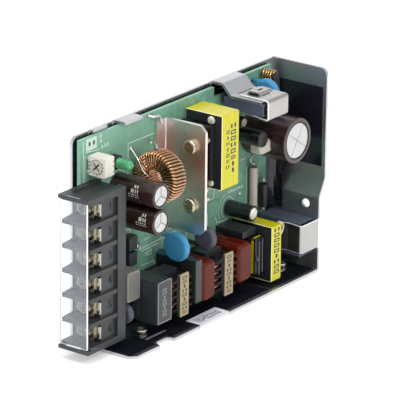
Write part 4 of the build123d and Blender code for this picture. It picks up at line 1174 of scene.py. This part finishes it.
class CONVERTER_OT_boxes(bpy.types.Operator):
    """Finish the moulded box capacitors and the couplers"""

    bl_idname = "converter.boxes"
    bl_label = "Box parts"

    def execute(self, context):
        # Polyester case filled with resin: dark grey, eggshell.
        case = moulded("polyester_case", colours().box, 0.36, 0.45, 0.015)
        dress("line_capacitors", case, 0.2)
        dress("flat_capacitor", case, 0.15)
        # Polypropylene case: grey tan.
        dress("safety_capacitor", moulded("tan_polypropylene", colours().tan, 0.4, 0.5), 0.2)
        # Coupler package: black epoxy, matt.
        dress("optocouplers", moulded("coupler_epoxy", colours().dark, 0.5), 0.08)
        inset, rims = 0.5, []
        for node, wide in (("line_capacitors", 8.8), ("safety_capacitor", 7.8)):
            low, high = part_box(node)
            left, right = low.x / MM + CORNER.x + inset, low.x / MM + CORNER.x + wide - inset
            bottom, top = low.z / MM + inset, high.z / MM - inset
            outline = ((left, bottom), (right, bottom), (right, top), (left, top), (left, bottom))
            rims += ink(outline, low.y / MM + CORNER.y, 0.3, 0.02)
        # Case rim: the moulding stands proud of the resin there, drawn pale as a painted highlight along its
        # edge.
        mesh_piece("case_rims", rims, finish("case_rim_painted_highlight", "#85878a", 0.4, (1.0, 0.08)))
        corner = spot(22.8, 0, 21.6)
        corner.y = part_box("line_capacitors")[0].y
        front = stamped(corner, -UP, ALONG, (0, 2, 1, 3, 0, 1, 2, 0), 1.0, 2.3, 1.4, 0.03)
        side = stamped(spot(19.7, -13.4, 20.6), -UP, -BACK, (1, 2, 3, 0, 2), 1.5, 3.6, 2.2, 0.03)
        # Laser-marked polyester: pale grey shapes, a little faded.
        marked = finish("laser_mark", "#7d8081", 0.6, (0.8, 0.2))
        mesh_piece("line_capacitor_print", front, marked)
        # The same marks on the side face, drawn darker as painted shade: barely paler than the case.
        side_marks_in_shade = finish("laser_mark_painted_shade", "#43474a", 0.6, (0.8, 0.3))
        mesh_piece("line_capacitor_side_print", side, side_marks_in_shade)
        return {"FINISHED"}


class CONVERTER_OT_films(bpy.types.Operator):
    """Finish the dipped film and disc capacitors"""

    bl_idname = "converter.films"
    bl_label = "Dipped capacitors"

    def execute(self, context):
        dress("film_capacitors", dipped("dipped_epoxy_red", colours().red))
        dress("blue_disc_capacitors", dipped("dipped_epoxy_blue", colours().blue))
        dress("power_discs", dipped("dipped_silicone_grey", colours().grey, 0.45))
        return {"FINISHED"}


class CONVERTER_OT_chokes(bpy.types.Operator):
    """Finish the line chokes and print their tape"""

    bl_idname = "converter.chokes"
    bl_label = "Line chokes"

    def execute(self, context):
        # Ferrite core and bobbin: both dark, the bobbin nearly black between the turns.
        dress("choke_cores", moulded("choke_ferrite", colours().ferrite, 0.4), 0.1)
        dress("choke_bobbins", moulded("choke_bobbin", shade(colours().dark, 0.25), 0.6))
        dress("choke_windings", wound_copper())
        # Crepe paper tape: tan, dry and faintly wrinkled.
        dress("choke_labels", finish("crepe_paper_tape", colours().wrap, 0.6, (1.0, 0.08), (0.5, 0.03)))
        low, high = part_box("choke_labels")
        tape_width = 5.2 * MM
        rows = []
        for x in (low.x, high.x - tape_width):
            corner = Vector((x + 1.2 * MM, low.y, high.z - 0.8 * MM))
            rows += stamped(corner, -UP, ALONG, (0, 3, 1, 2, 0, 1, 0, 2, 3), 1.2, 2.8, 1.72)
        # Stamped ink on paper: brown-black, soaked in.
        soaked = finish("paper_ink", "#3a3222", 0.7, (0.6, 0.2))
        mesh_piece("choke_label_print", rows, soaked)
        return {"FINISHED"}


# Curled lead ends in front of the board, as X and Z in millimetres from the back plate's corner.
LEAD_CURLS = (
    ((104.8, 48.1), (102.7, 46.6), (103.2, 45.2), (105.3, 43.3), (106.4, 42.9)),
    ((109.7, 39.0), (111.2, 37.5), (112.3, 35.9), (112.6, 34.8)),
    ((112.5, 24.4), (112.3, 23.5), (110.8, 23.2), (109.1, 23.4)),
    ((31.6, 34.3), (33.0, 32.7), (33.6, 30.9), (33.0, 29.5)),
)


class CONVERTER_OT_small_parts(bpy.types.Operator):
    """Finish the fuse, diode, filter coil, leads and adhesive"""

    bl_idname = "converter.small_parts"
    bl_label = "Small parts"

    def execute(self, context):
        # Steatite tube: matt cream ceramic.
        dress("ceramic_fuse", moulded("steatite_tube", colours().fuse, 0.6, 0.3, 0.02), 0.15)
        # Epoxy diode body: black with a low sheen.
        dress("snubber_diode", moulded("diode_epoxy", colours().dark, 0.4))
        # Enamelled copper of a paler, more golden kind.
        dress("filter_coil", copper_wire("gold_enamelled_copper", "#c39a55"))
        # Ferrite rod: dark grey ceramic.
        dress("filter_coil_rod", moulded("ferrite_rod", colours().ferrite, 0.4), 0.1)
        # Tinned copper leads: pale grey and bright.
        dress("component_leads", metal("tinned_wire", "#c4c5c2", 0.28))
        curls = [[spot(x, BOARD_FACE - 1.85, z) for x, z in run] for run in LEAD_CURLS]
        wire_piece("lead_curls", curls, 0.33 * MM, metal("tinned_curl", "#c4c5c2", 0.28))
        # Silicone adhesive: soft, pale, slightly glossy.
        glue = finish("silicone_adhesive", colours().glue, 0.15, (1.8, 0.7), (1.4, 0.2))
        dress("adhesive_beads", glue, 0.3)
        return {"FINISHED"}


class CONVERTER_PT_panel(bpy.types.Panel):
    """Panel that lists the converter's pieces, sizes and colours"""

    bl_idname = "CONVERTER_PT_panel"
    bl_label = "Power Converter"
    bl_space_type = "VIEW_3D"
    bl_region_type = "UI"
    bl_category = "Converter"

    def draw(self, context):
        for operator in OPERATORS:
            self.layout.operator(operator.bl_idname)
        for group in (context.scene.converter_sizes, context.scene.converter_colours):
            column = self.layout.column()
            for name in group.bl_rna.properties.keys():
                if name not in ("rna_type", "name"):
                    column.prop(group, name)


OPERATORS = (
    CONVERTER_OT_stage,
    CONVERTER_OT_chassis,
    CONVERTER_OT_board,
    CONVERTER_OT_terminals,
    CONVERTER_OT_trimmer,
    CONVERTER_OT_lamp,
    CONVERTER_OT_capacitors,
    CONVERTER_OT_toroid,
    CONVERTER_OT_heatsink,
    CONVERTER_OT_transformers,
    CONVERTER_OT_clips,
    CONVERTER_OT_boxes,
    CONVERTER_OT_films,
    CONVERTER_OT_chokes,
    CONVERTER_OT_small_parts,
)
CLASSES = (ConverterColours, ConverterSizes, *OPERATORS, CONVERTER_PT_panel)


def register():
    """Register the classes and their settings."""
    for found in CLASSES:
        bpy.utils.register_class(found)
    bpy.types.Scene.converter_colours = PointerProperty(type=ConverterColours)
    bpy.types.Scene.converter_sizes = PointerProperty(type=ConverterSizes)


def unregister():
    """Remove the settings and the classes."""
    del bpy.types.Scene.converter_sizes
    del bpy.types.Scene.converter_colours
    for found in reversed(CLASSES):
        bpy.utils.unregister_class(found)


def main():
    """Make every piece in order."""
    register()
    for operator in OPERATORS:
        group, name = operator.bl_idname.split(".")
        getattr(getattr(bpy.ops, group), name)()


if __name__ == "__main__":
    main()
